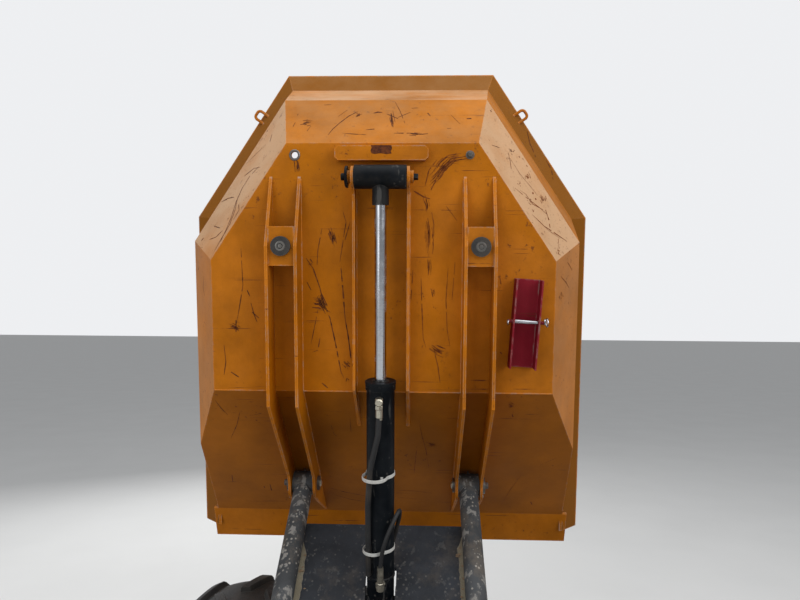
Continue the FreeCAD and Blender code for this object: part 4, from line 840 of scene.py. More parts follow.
def ram_rings(bm):
    """Gland nut with its slots, wiper ring, weld ring at the base and the seal's lip."""
    turned(bm, ram(0, 0, GLAND - 0.008), RAM_ALONG, (0, 59, 0, 60.4, 10, 60.4, 11.5, 58, 11.5, 30, 14, 30, 14, 23.6),
           48, 0.0, True)
    turned(bm, ram(0, 0, 0.118), RAM_ALONG, (0, 54.5, 4, 58.5, 10, 58.5, 14, 54.5), 48, 0.0, True)
    for c, s in circle(6, 1.0):
        across = RAM_BACK * c + Vector((s, 0, 0))
        turned(bm, ram(0, 0, GLAND - 0.014) + across * 0.0585, across, (0, 5, 3.5, 5, 4, 4), 12)


def ram_fittings(bm):
    """Silver hose ends: nuts and sleeves at both ports."""
    turned(bm, ram(-0.079, 0, GLAND - 0.073), -RAM_ALONG, (0, 13.5, 2, 15.5, 14, 15.5, 16, 13.5), 6)
    turned(bm, ram(-0.079, 0, GLAND - 0.089), -RAM_ALONG, (0, 13.5, 30, 13.8, 32, 12, 40, 11.8), 24)
    turned(bm, ram(-0.079, 0, GLAND - 0.062), -RAM_ALONG, (-16, 14.6, 0, 14.6, 8, 12.5), 24)
    turned(bm, ram(-0.089, 0, GLAND - 0.060), -RAM_BACK, (0, 14.6, 4, 14.6, 7, 11), 24)
    turned(bm, ram(-0.054, -0.004, 0.118), -RAM_BACK, (0, 19, 10, 19, 12, 17, 34, 17), 6)
    turned(bm, ram(-0.082, -0.004, 0.104), RAM_ALONG, (0, 14.5, 30, 14.5, 32, 12.5, 95, 12.5), 20)


def add_low_hose():
    """The lower port's hose: up the front of the barrel, round its right and back down behind."""
    data = bpy.data.curves.new("low_hose", "CURVE")
    data.dimensions = "3D"
    spline = data.splines.new("NURBS")
    spline.points.add(len(LOW_HOSE) - 1)
    for place, spot in zip(spline.points, LOW_HOSE):
        place.co = (*ram(*spot), 1.0)
    spline.use_endpoint_u = True
    spline.order_u = 3
    data.bevel_depth = 0.0085
    data.bevel_resolution = 4
    data.resolution_u = 10
    data.use_fill_caps = True
    data.materials.append(MATERIALS["rubber_black"])
    hose = bpy.data.objects.new("low_hose", data)
    bpy.context.scene.collection.objects.link(hose)
    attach(hose, "ram_barrel")


def hose_block(bm):
    """The clamp block behind the barrel that takes the lower hose."""
    turned(bm, ram(0.052, 0, 0.140), RAM_BACK, (0, 20, 28, 20, 30, 18), 6)
    turned(bm, ram(0.070, 0, 0.118), RAM_ALONG, (0, 13, 43, 13, 45, 11), 20)


# Zip ties round barrel and hose: height, where the hose lies (across, along the barrel's front)
TIES = ((0.548, 0.034, -0.078), (0.243, 0.044, -0.055))


def ram_ties(bm):
    """Zip ties: five turns close together round barrel and hose, and the head of each."""
    for z, hose_y, hose_x in TIES:
        points = []
        far = math.hypot(hose_x, hose_y)
        for x, y in circle(48, 1.0):
            reach = 0.0565
            bulge = x * hose_x + y * hose_y
            if bulge > 0:
                reach = max(reach, bulge / far * (far + 0.0125))
            points.append(ram(x * reach, y * reach, z))
        for lift in (-0.005, -0.0025, 0.0, 0.0025, 0.005):
            tube(bm, [p + RAM_ALONG * lift for p in points], 0.0018, 6, True)
        slab(bm, [ram(-0.056, y, z + dz) for y, dz in ((-0.014, -0.005), (-0.004, -0.005), (-0.004, 0.005),
                                                       (-0.014, 0.005))], -RAM_BACK * 0.006)


def blacken_eye():
    """The rod's eye and stem are painted; only the shaft below them is bright."""
    rod = NODES["ram_rod"].data
    rod.materials.append(MATERIALS["ram_paint"])
    for face in rod.polygons:
        if (face.center - RAM_FOOT).dot(RAM_ALONG) > STEM_START:
            face.material_index = 1


# Blocks and other shared forms
def merge(bm, part, place):
    """Adds a small mesh, drawn in a design frame, at its place in the world."""
    made = {v: bm.verts.new(place(*v.co)) for v in part.verts}
    for face in part.faces:
        bm.faces.new([made[v] for v in face.verts])
    part.free()


def block(bm, place, corner, opposite, soften=0.003, tilt=None):
    """A block between two corners, its edges softened; tilt turns it about its middle."""
    part = bmesh.new()
    bmesh.ops.create_cube(part, size=1.0)
    middle = (Vector(corner) + Vector(opposite)) / 2
    size = [abs(c) for c in Vector(opposite) - Vector(corner)]
    for v in part.verts:
        v.co = Vector([c * s for c, s in zip(v.co, size)])
    bmesh.ops.bevel(part, geom=part.edges[:], offset=soften, segments=2, profile=0.5, affect="EDGES",
                    clamp_overlap=True)
    for v in part.verts:
        v.co = (tilt @ v.co if tilt else v.co) + middle
    merge(bm, part, place)


def turn_y(degrees):
    return Matrix.Rotation(math.radians(degrees), 3, "Y")


def bend(points, reach=0.03, steps=5):
    """The points with each inner corner rounded."""
    out = [points[0]]
    for before, corner, after in zip(points, points[1:], points[2:]):
        one = corner + (before - corner).normalized() * reach
        two = corner + (after - corner).normalized() * reach
        out += [one.lerp(corner, t).lerp(corner.lerp(two, t), t) for t in (k / steps for k in range(steps + 1))]
    return out + [points[-1]]


def pipe(bm, place, spots, reach, radius, count=12, steps=5):
    """A tube through spots of a place, its corners rounded over a reach."""
    tube(bm, bend([place(*spot) for spot in spots], reach, steps), radius, count)


def louvre(bm, x0, x1, y, z, tall, lift):
    """A raised louvre on a side wall of the rear half; lift carries its lower edge outward."""
    low = [bm.verts.new(rear(*spot)) for spot in ((x0, y, z), (x1, y, z), (x1, y, z + tall), (x0, y, z + tall))]
    high = [bm.verts.new(v.co + lift) for v in low[:2]]
    for face in ((low[0], low[1], high[1], high[0]), (high[0], high[1], low[2], low[3]),
                 (low[0], high[0], low[3]), (low[1], low[2], high[1])):
        bm.faces.new(face)


# Wheels: centre, outward direction along the axle and body
WHEELS = {}
for joint in frame["joints"]:
    if joint["name"].startswith("wheel_"):
        outward = Vector(joint["axis"]) * (1 if joint["name"].endswith("left") else -1)
        WHEELS[joint["child"]] = (Vector(joint["pos_m"]), outward)
CROWN_R = 0.514
LUGS = 14
CARCASS = ((0.0, 0.5140), (0.060, 0.5135), (0.110, 0.5120), (0.145, 0.5080), (0.168, 0.4960), (0.184, 0.4740),
           (0.1925, 0.4500), (0.1975, 0.4200), (0.1995, 0.4050), (0.2015, 0.4030), (0.2015, 0.3970),
           (0.1998, 0.3950), (0.1985, 0.3700), (0.1940, 0.3400), (0.1870, 0.3120), (0.1890, 0.3100),
           (0.1880, 0.3060), (0.1850, 0.3050), (0.1720, 0.2820), (0.1560, 0.2660))
# A lug's stations: distance from the tyre's middle, top radius, base radius, half width
LUG_ROWS = ((0.0065, 0.5240, 0.508, 0.019), (0.0085, 0.5365, 0.508, 0.0215), (0.016, 0.5385, 0.508, 0.0225),
            (0.050, 0.5394, 0.508, 0.0235), (0.090, 0.5390, 0.507, 0.0245), (0.130, 0.5370, 0.504, 0.0250),
            (0.152, 0.5330, 0.500, 0.0250), (0.162, 0.5240, 0.490, 0.0250), (0.176, 0.5010, 0.475, 0.0250),
            (0.190, 0.4740, 0.452, 0.0245), (0.1965, 0.4600, 0.445, 0.0235), (0.1970, 0.4520, 0.440, 0.0200))
LUG_SKEW = 0.084


def wheel_place(centre, outward):
    """Points of a wheel: x forward, y outward along the axle, z up."""
    ahead = outward.cross(Vector((0, 0, 1)))
    return lambda x, y, z: centre + ahead * x + outward * y + Vector((0, 0, z))


def tyre_mesh(bm, centre, outward):
    """The tyre's carcass turned from its section, and two rows of lugs."""
    place = wheel_place(centre, outward)
    profile = [(y, r) for y, r in CARCASS[::-1]] + [(-y, r) for y, r in CARCASS[1:]]
    lathe(bm, centre, Vector(outward), profile, 112, 0.0, True)
    pitch = 2 * math.pi * CROWN_R / LUGS
    chance = random.Random(11)
    for i in range(LUGS):
        for sign in (1, -1):
            start = (i + (0.5 if sign < 0 else 0.0)) * pitch
            wear = chance.uniform(0.0, 0.0010)
            rings = []
            for y, top, base, half in LUG_ROWS:
                s = start + LUG_SKEW * ((y - 0.008) / 0.192 - 0.5)
                top -= wear
                left = [(s - half - 0.006, base), (s - half - 0.001, top - 0.012), (s - half + 0.001, top - 0.003),
                        (s - half + 0.004, top)]
                right = [(s + half - 0.004, top), (s + half - 0.001, top - 0.003), (s + half + 0.001, top - 0.012),
                         (s + half + 0.006, base)]
                rings.append([bm.verts.new(place(r * math.sin(a / CROWN_R), sign * y, r * math.cos(a / CROWN_R)))
                              for a, r in left + right])
            join(bm, rings)


def rim_edges(bm, centre, outward):
    """Rolled rim flanges against the beads, and the weld between disc and rim."""
    for side in (1, -1):
        turned(bm, centre, outward * side, (154, 253.5, 155.5, 264, 162, 274, 170, 280, 174, 279, 174.5, 274,
                                            169, 266, 164, 256, 160, 253.5), 72, 0.0, True)
    turned(bm, centre, outward, (83.5, 253, 87, 250, 90, 253), 72, 0.0, True)


def wheel_nuts(bm, centre, outward):
    """Ten wheel nuts on studs, cap screws and the drain plug."""
    place = wheel_place(centre, outward)
    for z, x in circle(10, 0.105):
        at = place(x, 0.125, z)
        turned(bm, at, outward, (0, 12.5, 2, 12.5, 2.5, 10.5, 14, 10.5, 16, 9), 6)
        turned(bm, at, outward, (10, 5.8, 26, 5.8, 27.5, 4.5), 12)
    for z, x in circle(6, 0.060, 0.5):
        turned(bm, place(x, 0.1445, z), outward, (0, 6.5, 6, 6.5, 6.5, 4.5, 3, 3.5), 12)
    turned(bm, place(0.0, 0.1585, 0.024), outward, (0, 9, 7, 9, 8, 6), 6)


def valve(bm, centre, outward):
    place = wheel_place(centre, outward)
    turned(bm, place(0.0, 0.094, -0.236), direction(place, 0, 1, 0.25),
           (0, 8.5, 12, 7.5, 20, 4.5, 34, 4.5, 35, 5.8, 46, 5.8, 48, 4), 16)


# Front half and cradle
def slew_bolts(bm):
    """Bolt circle on the deck's edge round the slew ring, bumper bolts and plugs under the box."""
    for x, y in circle(32, 0.412, 0.5):
        bolt(bm, front(x, y, 0.925), UP, 0.0078)
    for y in (-0.27, -0.09, 0.09, 0.27):
        for z in (0.68, 0.78):
            bolt(bm, front(0.920, y, z), Vector((1, 0, 0)), 0.013)
    for x, y in ((0.56, 0.21), (0.64, 0.21), (0.56, -0.21), (0.64, -0.21)):
        turned(bm, front(x, y, 0.560), -UP, (0, 12, 14, 12, 16, 9), 6)


def front_welds(bm):
    """Weld beads on both sides where neck, box, deck and bumper meet: x, y, z, then the end's x and z."""
    lines = ((-0.165, 0.130, 0.64, -0.165, 0.898), (-0.178, 0.26, 0.64, -0.178, 0.898),
             (0.902, 0.26, 0.64, 0.902, 0.82), (0.50, 0.262, 0.641, 0.70, 0.641), (0.42, 0.262, 0.900, 0.88, 0.900))
    for i, (x0, y, z0, x1, z1) in enumerate(lines):
        for j, across in enumerate((y, -y)):
            bead(bm, front(x0, across, z0), front(x1, across, z1), 0.004, 2 * i + j)


def axle_details(bm, place, x):
    """Flange bolts, drain plug and breather on an axle."""
    for sign, side in sides(place):
        for a, c in circle(8, 0.104, 0.5):
            bolt(bm, place(x + a, sign * 0.7650, AXLE_Z + c), -side, 0.0068)
        for a, c in circle(10, 0.120):
            bolt(bm, place(x + a, sign * 0.1005, AXLE_Z + c), side, 0.0062)
    turned(bm, place(x, 0.0, 0.4065), direction(place, 0, 0, -1), (0, 15, 8, 15, 10, 10), 6)
    turned(bm, place(x + 0.06, 0.12, 0.640), direction(place, 0, 0, 1), (0, 7, 12, 7, 13, 11, 20, 11, 23, 6), 12)


def motor_ports(bm, place, x):
    """Two capped ports with their elbows on the motor housing's side."""
    for y in (-0.045, 0.045):
        turned(bm, place(x - 0.120, y, 0.560), direction(place, -1, 0, 0), (0, 19, 26, 19, 28, 16, 34, 15.5), 6)
        pipe(bm, place, ((x - 0.150, y, 0.560), (x - 0.175, y, 0.562), (x - 0.192, y, 0.578), (x - 0.196, y, 0.600),
                         (x - 0.196, y, 0.636)), 0.008, 0.0105, 14)


def cradle_bolts(bm):
    """Bolts round the cradle's table, keeper bolts at the ram's foot and the rails' grease nipples."""
    for x, y in circle(28, 0.380):
        if x <= -0.20 and abs(y) <= 0.31:
            bolt(bm, cradle(x, y, TABLE_TOP), UP, 0.011)
    for sign, side in sides(cradle):
        at = RAM_FOOT + side * 0.092
        turned(bm, at, side, (0, 30, 6, 30, 8, 28), 28)
        for dz in (-0.016, 0.016):
            turned(bm, at + UP * dz + side * 0.008, side, (0, 7, 6, 7, 7, 5.5), 6)
        turned(bm, cradle(0.850, sign * RAIL_Y, 1.6035), UP, (0, 4.8, 5, 4.8, 6, 3, 10, 3.4, 12, 2), 6)


def cradle_welds(bm):
    """Beads along both rails where the bed and the sloping plate meet them."""
    z = RAIL_Z - 0.030
    for sign in (-1, 1):
        y = sign * (RAIL_Y - 0.033)
        low = cradle(RAIL_KINK, y, z)
        bead(bm, low, cradle(0.72, y, z + (0.72 - RAIL_KINK) * RAIL_RISE), 0.005, 3 + sign)
        bead(bm, cradle(-0.24, y, z), low, 0.005, 7 + sign)


# Dried mud: strips inside the rails and clods where soil falls
def clods(bm, spots, seed):
    """Lumps of soil: (place, size) pairs, each an uneven flattened ball half sunk in its ground."""
    chance = random.Random(seed)
    for at, size in spots:
        part = bmesh.new()
        bmesh.ops.create_icosphere(part, subdivisions=2, radius=1.0)
        shift = Vector((chance.random(), chance.random(), chance.random())) * 40
        stretch = Vector((chance.uniform(0.7, 1.4), chance.uniform(0.7, 1.4), chance.uniform(0.35, 0.6)))
        for v in part.verts:
            lump = 1 + 0.55 * noise.noise(v.co * 1.1 + shift) + 0.25 * noise.noise(v.co * 3.0 + shift)
            v.co = Vector([c * s for c, s in zip(v.co * lump, stretch)]) * size
        merge(bm, part, lambda x, y, z: at + Vector((x, y, z)))


def cradle_mud(bm):
    """Mud along the inner foot of both rails, and clods on the bed and slope."""
    chance = random.Random(21)
    spots = []
    for sign in (-1, 1):
        for _ in range(46):
            x = chance.uniform(-0.22, 0.66)
            ground = TABLE_TOP if x < 0.287 else RAIL_Z - 0.0579 + (x - RAIL_KINK) * RAIL_RISE
            y = sign * (0.342 - abs(chance.gauss(0, 0.012)))
            spots.append((cradle(x, y, ground), chance.uniform(0.004, 0.013)))
    for _ in range(70):
        x, y = chance.uniform(-0.27, 0.22), chance.uniform(-0.31, 0.31)
        if math.hypot(x, y) < 0.37:
            spots.append((cradle(x, y, TABLE_TOP), chance.uniform(0.002, 0.009)))
    clods(bm, spots, 4)


# Dried soil against the inside of both rails: side, from and to along the slope
BANDS = ((1, 0.262, 0.672), (-1, 0.262, 0.714))
BAND_Y = 0.3505


def rail_bands(bm):
    """Low ridges of dried soil in the corner between the sloping plate and each rail."""
    count = 60
    for sign, start, end in BANDS:
        rings = []
        for i in range(count + 1):
            x = start + (end - start) * i / count
            ground = RAIL_Z - 0.0583 + (x - RAIL_KINK) * RAIL_RISE
            wave = (noise.noise(Vector((x * 21, sign * 7.0, 0.0)))
                    + 0.5 * noise.noise(Vector((x * 70, sign * 3.0, 2.0))))
            fade = min(1.0, (count - i) / 8)
            width = (0.027 + 0.006 * wave) * fade + 0.002
            tall = (0.013 + 0.003 * wave) * fade + 0.001
            spots = ((BAND_Y, ground), (BAND_Y, ground + tall), (BAND_Y - width * 0.4, ground + tall * 0.6),
                     (BAND_Y - width, ground + 0.0004), (BAND_Y - width, ground))
            rings.append([bm.verts.new(cradle(x, sign * y, z)) for y, z in spots])
        join(bm, rings)


def guard_top(angle, y, radius):
    """A spot over a mudguard, by its angle from the top."""
    return rear(REAR_AXLE_X + radius * math.sin(angle), y, AXLE_Z + radius * math.cos(angle))


def floor_mud(bm):
    """Crumbs and clods on the operator's floor and the guards."""
    chance = random.Random(31)
    spots = []
    for _ in range(110):
        x, y = chance.uniform(-1.66, -1.03), chance.uniform(-0.57, 0.57)
        if not (-1.40 < x and abs(y) < 0.20):
            spots.append((rear(x, y, DECK_Z), chance.uniform(0.002, 0.008)))
    for _ in range(90):
        angle = math.radians(chance.uniform(-42, 42))
        sign = chance.choice((-1, 1))
        y = sign * chance.uniform(0.64, 0.98)
        spots.append((guard_top(angle, y, 0.592), chance.uniform(0.002, 0.010)))
    clods(bm, spots, 5)


# Rear half: what the operator touches
DASH_NORMAL = (-0.676, 0.737)


def dash(along, y, out=0.0):
    """A point on the sloping dashboard, from its upper edge down towards the seat."""
    return rear(-1.260 - 0.737 * along + DASH_NORMAL[0] * out, y, 1.270 - 0.676 * along + DASH_NORMAL[1] * out)


DASH_OUT = direction(rear, DASH_NORMAL[0], 0, DASH_NORMAL[1])
DASH_DOWN = direction(rear, -0.737, 0, -0.676)
DASH_LEFT = direction(rear, 0, 1, 0)
COLUMN = direction(rear, -0.571, 0, 0.821)
# Levers beside the seat: foot, height and lean
LEVERS = ((-1.735, -0.271, 0.170, 0.10), (-1.790, -0.271, 0.150, 0.06), (-1.760, 0.273, 0.210, 0.16))
DIALS = ((0.062, 0.0, 0.042), (0.062, 0.105, 0.030), (0.062, -0.105, 0.030))


def dash_plate(bm, at, left, down, lift, rise):
    """A plate on the dashboard: half its width and height, its lift, and the vector to its face."""
    slab(bm, [at + DASH_LEFT * (left * a) + DASH_DOWN * (down * b) + DASH_OUT * lift
              for a, b in ((-1, -1), (1, -1), (1, 1), (-1, 1))], rise)


def dial_rims(bm):
    """Dial rims, a row of rocker switches, the dash's screws and the key switch."""
    for along, y, size in DIALS:
        lathe(bm, dash(along, y), DASH_OUT, [(0, size + 0.007), (0.006, size + 0.007), (0.010, size + 0.003),
                                             (0.010, size), (0.004, size - 0.001)], 48)
    for i in range(5):
        at = dash(0.135, -0.12 + 0.034 * i)
        dash_plate(bm, at, 0.012, 0.019, 0.0, DASH_OUT * 0.003)
        dash_plate(bm, at, 0.009, 0.016, 0.002, DASH_OUT * 0.006 + DASH_DOWN * (0.003 if i % 2 else -0.003))
    for y in (-0.175, 0.175):
        for along in (0.015, 0.150):
            turned(bm, dash(along, y), DASH_OUT, (0, 6, 2, 6, 4, 3), 16)
    turned(bm, dash(0.135, 0.085), DASH_OUT, (0, 16, 8, 16, 10, 13, 10, 6, 16, 6), 28)


def dial_faces(bm):
    for along, y, size in DIALS:
        lathe(bm, dash(along, y), DASH_OUT, [(0.0035, size), (0.0045, size)], 40)


def dial_marks(bm):
    """Strokes round each dial and its needle."""
    for along, y, size in DIALS:
        at = dash(along, y, 0.0048)
        for i in range(11):
            angle = math.radians(-130 + 26 * i)
            out = DASH_LEFT * -math.sin(angle) - DASH_DOWN * math.cos(angle)
            side = out.cross(DASH_OUT) * 0.0006
            near, far = at + out * size * 0.74, at + out * size * 0.92
            slab(bm, [near - side, near + side, far + side, far - side], DASH_OUT * 0.0004)
        out = (DASH_LEFT * 0.8 + DASH_DOWN * 0.45).normalized()
        side = out.cross(DASH_OUT)
        tail, tip = at - out * size * 0.15, at + out * size * 0.72
        slab(bm, [tail - side * 0.0018, tail + side * 0.0018, tip + side * 0.0005, tip - side * 0.0005],
             DASH_OUT * 0.0014)
        turned(bm, at, DASH_OUT, (0, 4.5, 3, 4.5, 4, 3), 16)


def dash_lights(bm):
    for i in range(4):
        turned(bm, dash(0.018, -0.03 + 0.02 * i), DASH_OUT, (0, 5.5, 2.5, 5.5, 4, 3), 16)


def key_and_nuts(bm):
    """The key in its switch and the bright nuts of the column's collar."""
    dash_plate(bm, dash(0.135, 0.085, 0.016), 0.001, 0.010, 0.0, DASH_OUT * 0.022)
    for i in range(4):
        angle = math.radians(45 + 90 * i)
        side = DASH_LEFT * math.cos(angle) + COLUMN.cross(DASH_LEFT) * math.sin(angle)
        turned(bm, rear(-1.300, 0, 1.187) + side * 0.047 + COLUMN * 0.010, COLUMN, (0, 7, 6, 7, 7, 5.5), 6)


def column_collar(bm):
    """Rubber bellows at the foot of the steering column, horn button, hub ring and indicator stalk."""
    turned(bm, rear(-1.292, 0, 1.176), COLUMN, (-12, 60, 8, 60, 12, 52, 20, 55, 28, 44, 36, 49, 44, 40, 52, 44,
                                                60, 33.5, 66, 33.5), 40)
    head = rear(-1.500, 0, 1.475)
    turned(bm, head, COLUMN, (11.8, 40, 16, 38, 20, 30, 20, 24, 26, 22, 28, 14), 40)
    stalk = head - COLUMN * 0.060
    points = [stalk, stalk + DASH_LEFT * 0.06, stalk + DASH_LEFT * 0.13 + COLUMN * 0.012]
    tube(bm, bend(points, 0.02), 0.0045, 10)
    turned(bm, points[-1], points[-1] - points[-2], (-30, 6, -26, 9, 10, 9.5, 14, 6), 16)
    turned(bm, head - COLUMN * 0.075, COLUMN, (0, 32.5, 2, 40, 28, 40, 30, 32.5), 32)


def levers(bm):
    """Tip and gear levers beside the seat, the brake lever at the left."""
    for x, y, high, lean in LEVERS:
        pipe(bm, rear, ((x, y, BOX_Z), (x + lean * 0.3, y, BOX_Z + high * 0.45), (x + lean, y, BOX_Z + high)),
             0.04, 0.0055)


def lever_boots(bm):
    """A pleated boot at each lever's foot and the knob at its top."""
    for x, y, high, lean in LEVERS:
        turned(bm, rear(x, y, 1.230), UP, (0, 26, 4, 26, 8, 22, 13, 23.5, 18, 17, 23, 18.5, 28, 12, 33, 13.5,
                                           40, 6), 28)
        axis = direction(rear, lean * 0.7, 0, high * 0.55)
        turned(bm, rear(x + lean, y, BOX_Z + high), axis, (-20, 7, -12, 13, 10, 18.5, 26, 19, 36, 15, 41, 7), 28)


def pedals(bm):
    """Brake and drive pedals either side of the console: pad with ribs, arm and pivot block."""
    tilt = turn_y(-50)
    for y, wide, long in ((0.300, 0.050, 0.075), (-0.290, 0.036, 0.120)):
        block(bm, rear, (-1.245 - long / 2, y - wide, 0.958), (-1.245 + long / 2, y + wide, 0.966), 0.003, tilt)
        for i in range(6):
            at = Vector((-1.245, y, 0.962)) + tilt @ Vector(((i - 2.5) * long / 6.5, 0, 0.006))
            half = Vector((0.003, wide * 0.9, 0.003))
            block(bm, rear, at - half, at + half, 0.001, tilt)
        block(bm, rear, (-1.215, y - 0.022, DECK_Z), (-1.155, y + 0.022, 0.888), 0.003)
        tube(bm, [rear(-1.185, y, 0.885), rear(-1.205, y, 0.925), rear(-1.238, y, 0.956)], 0.008, 12)
        turned(bm, rear(-1.185, y - 0.026, 0.892), DASH_LEFT, (0, 11, 52, 11), 16)


# Rear half: body
def fuel_caps(bm):
    """A screw cap with a grip on each tank."""
    for sign, size in ((1, 0.048), (-1, 0.036)):
        side = direction(rear, 0, sign, 0)
        at = rear(-1.52, sign * 0.588, 0.795)
        lathe(bm, at, side, [(0, size + 0.010), (0.004, size + 0.010), (0.005, size * 0.86), (0.010, size * 0.86),
                             (0.011, size), (0.026, size * 0.97), (0.030, size * 0.88)], 40)
        block(bm, lambda p, q, r: at + side * q + REAR_AHEAD * p + UP * r,
              (-size * 0.8, 0.026, -0.007), (size * 0.8, 0.038, 0.007), 0.003)


def sight_glass(bm):
    """Oil level tube on the right tank, held by two banjo bolts."""
    for z in (0.660, 0.790):
        turned(bm, rear(-1.36, -0.5895, z), direction(rear, 0, -1, 0), (0, 12, 12, 12, 14, 9), 6)
    turned(bm, rear(-1.36, -0.601, 0.660), UP, (12, 6.5, 118, 6.5), 16)


def tank_straps(bm):
    """Straps round each tank, step treads on its side and the drain plug."""
    run = ((0.5925, 0.858), (0.5925, 0.632), (0.572, 0.582), (0.520, 0.5575), (0.330, 0.5575))
    for sign, side in sides(rear):
        for x in (-1.60, -1.12):
            for (y0, z0), (y1, z1) in zip(run, run[1:]):
                corners = [rear(x + dx, sign * y, z)
                           for dx, y, z in ((-0.017, y0, z0), (0.017, y0, z0), (0.017, y1, z1), (-0.017, y1, z1))]
                normal = (corners[1] - corners[0]).cross(corners[2] - corners[1]).normalized()
                if normal.dot(side - UP * 0.8) < 0:
                    normal = -normal
                slab(bm, corners, normal * 0.0025)
            bolt(bm, rear(x, sign * 0.5950, 0.845), side, 0.0075)
        for z in (0.66, 0.76):
            block(bm, rear, (-1.46, sign * 0.588, z), (-1.26, sign * 0.618, z + 0.006), 0.002)
            for i in range(13):
                x = -1.455 + i * 0.0155
                block(bm, rear, (x, sign * 0.592, z + 0.005), (x + 0.006, sign * 0.618, z + 0.010), 0.001)
        turned(bm, rear(-1.36, sign * 0.45, 0.5605), -UP, (0, 14, 8, 14, 10, 10), 6)


def grab_rails(bm):
    """Hand rails on the roll bar's posts."""
    for y in (-0.512, 0.512):
        pipe(bm, rear, ((-2.105, y, 1.16), (-2.030, y, 1.16), (-2.030, y, 1.52), (-2.105, y, 1.52)), 0.035, 0.0115, 16)
        for z in (1.16, 1.52):
            turned(bm, rear(-2.1005, y, z), REAR_AHEAD, (0, 22, 4, 22), 24)


def post_bolts(bm):
    """Foot bolts and fold pin heads of the roll bar, screws of seat box, console and floor."""
    for sign, side in sides(rear):
        for dx in (-0.052, 0.052):
            for z in (0.815, 0.845):
                bolt(bm, rear(-2.140 + dx, sign * 0.5500, z), side, 0.0085)
        turned(bm, rear(-2.140, sign * 0.5565, 1.760), side, (0, 20, 6, 20, 8, 18), 6)
        for x in (-1.75, -1.90, -2.03):
            for z in (0.90, 1.19):
                turned(bm, rear(x, sign * 0.3002, z), side, (0, 10, 1.5, 10, 2, 7.5, 6, 7), 16)
        for x, z in ((-1.19, 0.91), (-1.19, 1.16), (-1.30, 1.16), (-1.26, 0.91)):
            turned(bm, rear(x, sign * 0.1902, z), side, (0, 9, 1.5, 9, 2, 6.5, 5, 6), 16)
        for x, y in ((-1.64, 0.57), (-1.64, 0.40), (-1.36, 0.57), (-1.05, 0.57), (-1.05, 0.36)):
            turned(bm, rear(x, sign * y, DECK_Z), UP, (0, 10, 2, 10, 4, 7), 16)


def box_louvres(bm):
    """Raised louvres in both sides of the seat box."""
    for sign, side in sides(rear):
        for i in range(6):
            louvre(bm, -2.00, -1.79, sign * 0.2995, 0.965 + i * 0.034, 0.020, side * 0.009)


def bonnet_louvres(bm):
    """Two columns of raised louvres on each side of the bonnet."""
    for sign, side in sides(rear):
        for x in (-2.70, -2.485):
            for i in range(8):
                louvre(bm, x, x + 0.17, sign * 0.4297, 1.02 + i * 0.030, 0.017, side * 0.008)


def bonnet_fittings(bm):
    """Striker plates of the side latches and hand holds on the lid."""
    for sign, side in sides(rear):
        block(bm, rear, (-2.285, sign * 0.429, 1.005), (-2.245, sign * 0.437, 1.050), 0.002)
        turned(bm, rear(-2.265, sign * 0.436, 1.035), side, (0, 6, 10, 6, 12, 9, 16, 9), 16)
        far, near = sign * 0.20, sign * 0.08
        pipe(bm, rear, ((-2.245, far, 1.4295), (-2.245, far, 1.462), (-2.245, near, 1.462), (-2.245, near, 1.4295)),
             0.015, 0.0065)


def latches(bm):
    """Rubber pull latches low on the panels, below the lid's strikers."""
    for sign in (-1, 1):
        block(bm, rear, (-2.288, sign * 0.429, 0.885), (-2.242, sign * 0.436, 0.925), 0.002)
        block(bm, rear, (-2.278, sign * 0.435, 0.900), (-2.252, sign * 0.445, 0.952), 0.003)


def lamp_frames(bm):
    """Dark housings round the rear lamps, with screws and the bar between their lenses."""
    for sign in (-1, 1):
        for y0, y1, z0, z1 in ((0.316, 0.420, 0.829, 0.834), (0.316, 0.420, 0.916, 0.921), (0.316, 0.321, 0.829, 0.921),
                               (0.415, 0.420, 0.829, 0.921), (0.365, 0.370, 0.829, 0.921)):
            block(bm, rear, (-2.838, sign * y0, z0), (-2.800, sign * y1, z1), 0.0015)
        for y in (0.343, 0.393):
            for z in (0.838, 0.912):
                turned(bm, rear(-2.833, sign * y, z), REAR_BACK, (0, 3.5, 2, 3.5, 3, 2), 12)


def amber_lenses(bm):
    """The outer half of each rear lamp turns amber; ribs run across it."""
    for sign in (-1, 1):
        block(bm, rear, (-2.8365, sign * 0.371, 0.835), (-2.830, sign * 0.414, 0.915), 0.002)
        for i in range(9):
            z = 0.840 + i * 0.0085
            block(bm, rear, (-2.8380, sign * 0.374, z), (-2.834, sign * 0.411, z + 0.004), 0.001)


def reflectors(bm):
    """A round reflector at each side of the counterweight, and ribs across the red half of each lamp."""
    for sign in (-1, 1):
        turned(bm, rear(-2.8502, sign * 0.365, 0.700), REAR_BACK, (0, 36, 4, 36, 7, 32), 40)
        for i in range(9):
            z = 0.840 + i * 0.0085
            block(bm, rear, (-2.8355, sign * 0.326, z), (-2.832, sign * 0.362, z + 0.004), 0.001)


def weight_bolts(bm):
    """Bolts in the counterweight's back and two lifting loops on its top."""
    for y in (-0.24, 0.24):
        for z in (0.62, 0.74):
            turned(bm, rear(-2.8505, y, z), REAR_BACK, (0, 34, 6, 34, 7, 24, 22, 24, 25, 20), 6)
    for sign in (-1, 1):
        near, far = sign * 0.30, sign * 0.36
        pipe(bm, rear, ((-2.73, near, 0.7995), (-2.73, near, 0.8500), (-2.73, far, 0.8500), (-2.73, far, 0.7995)),
             0.018, 0.008)


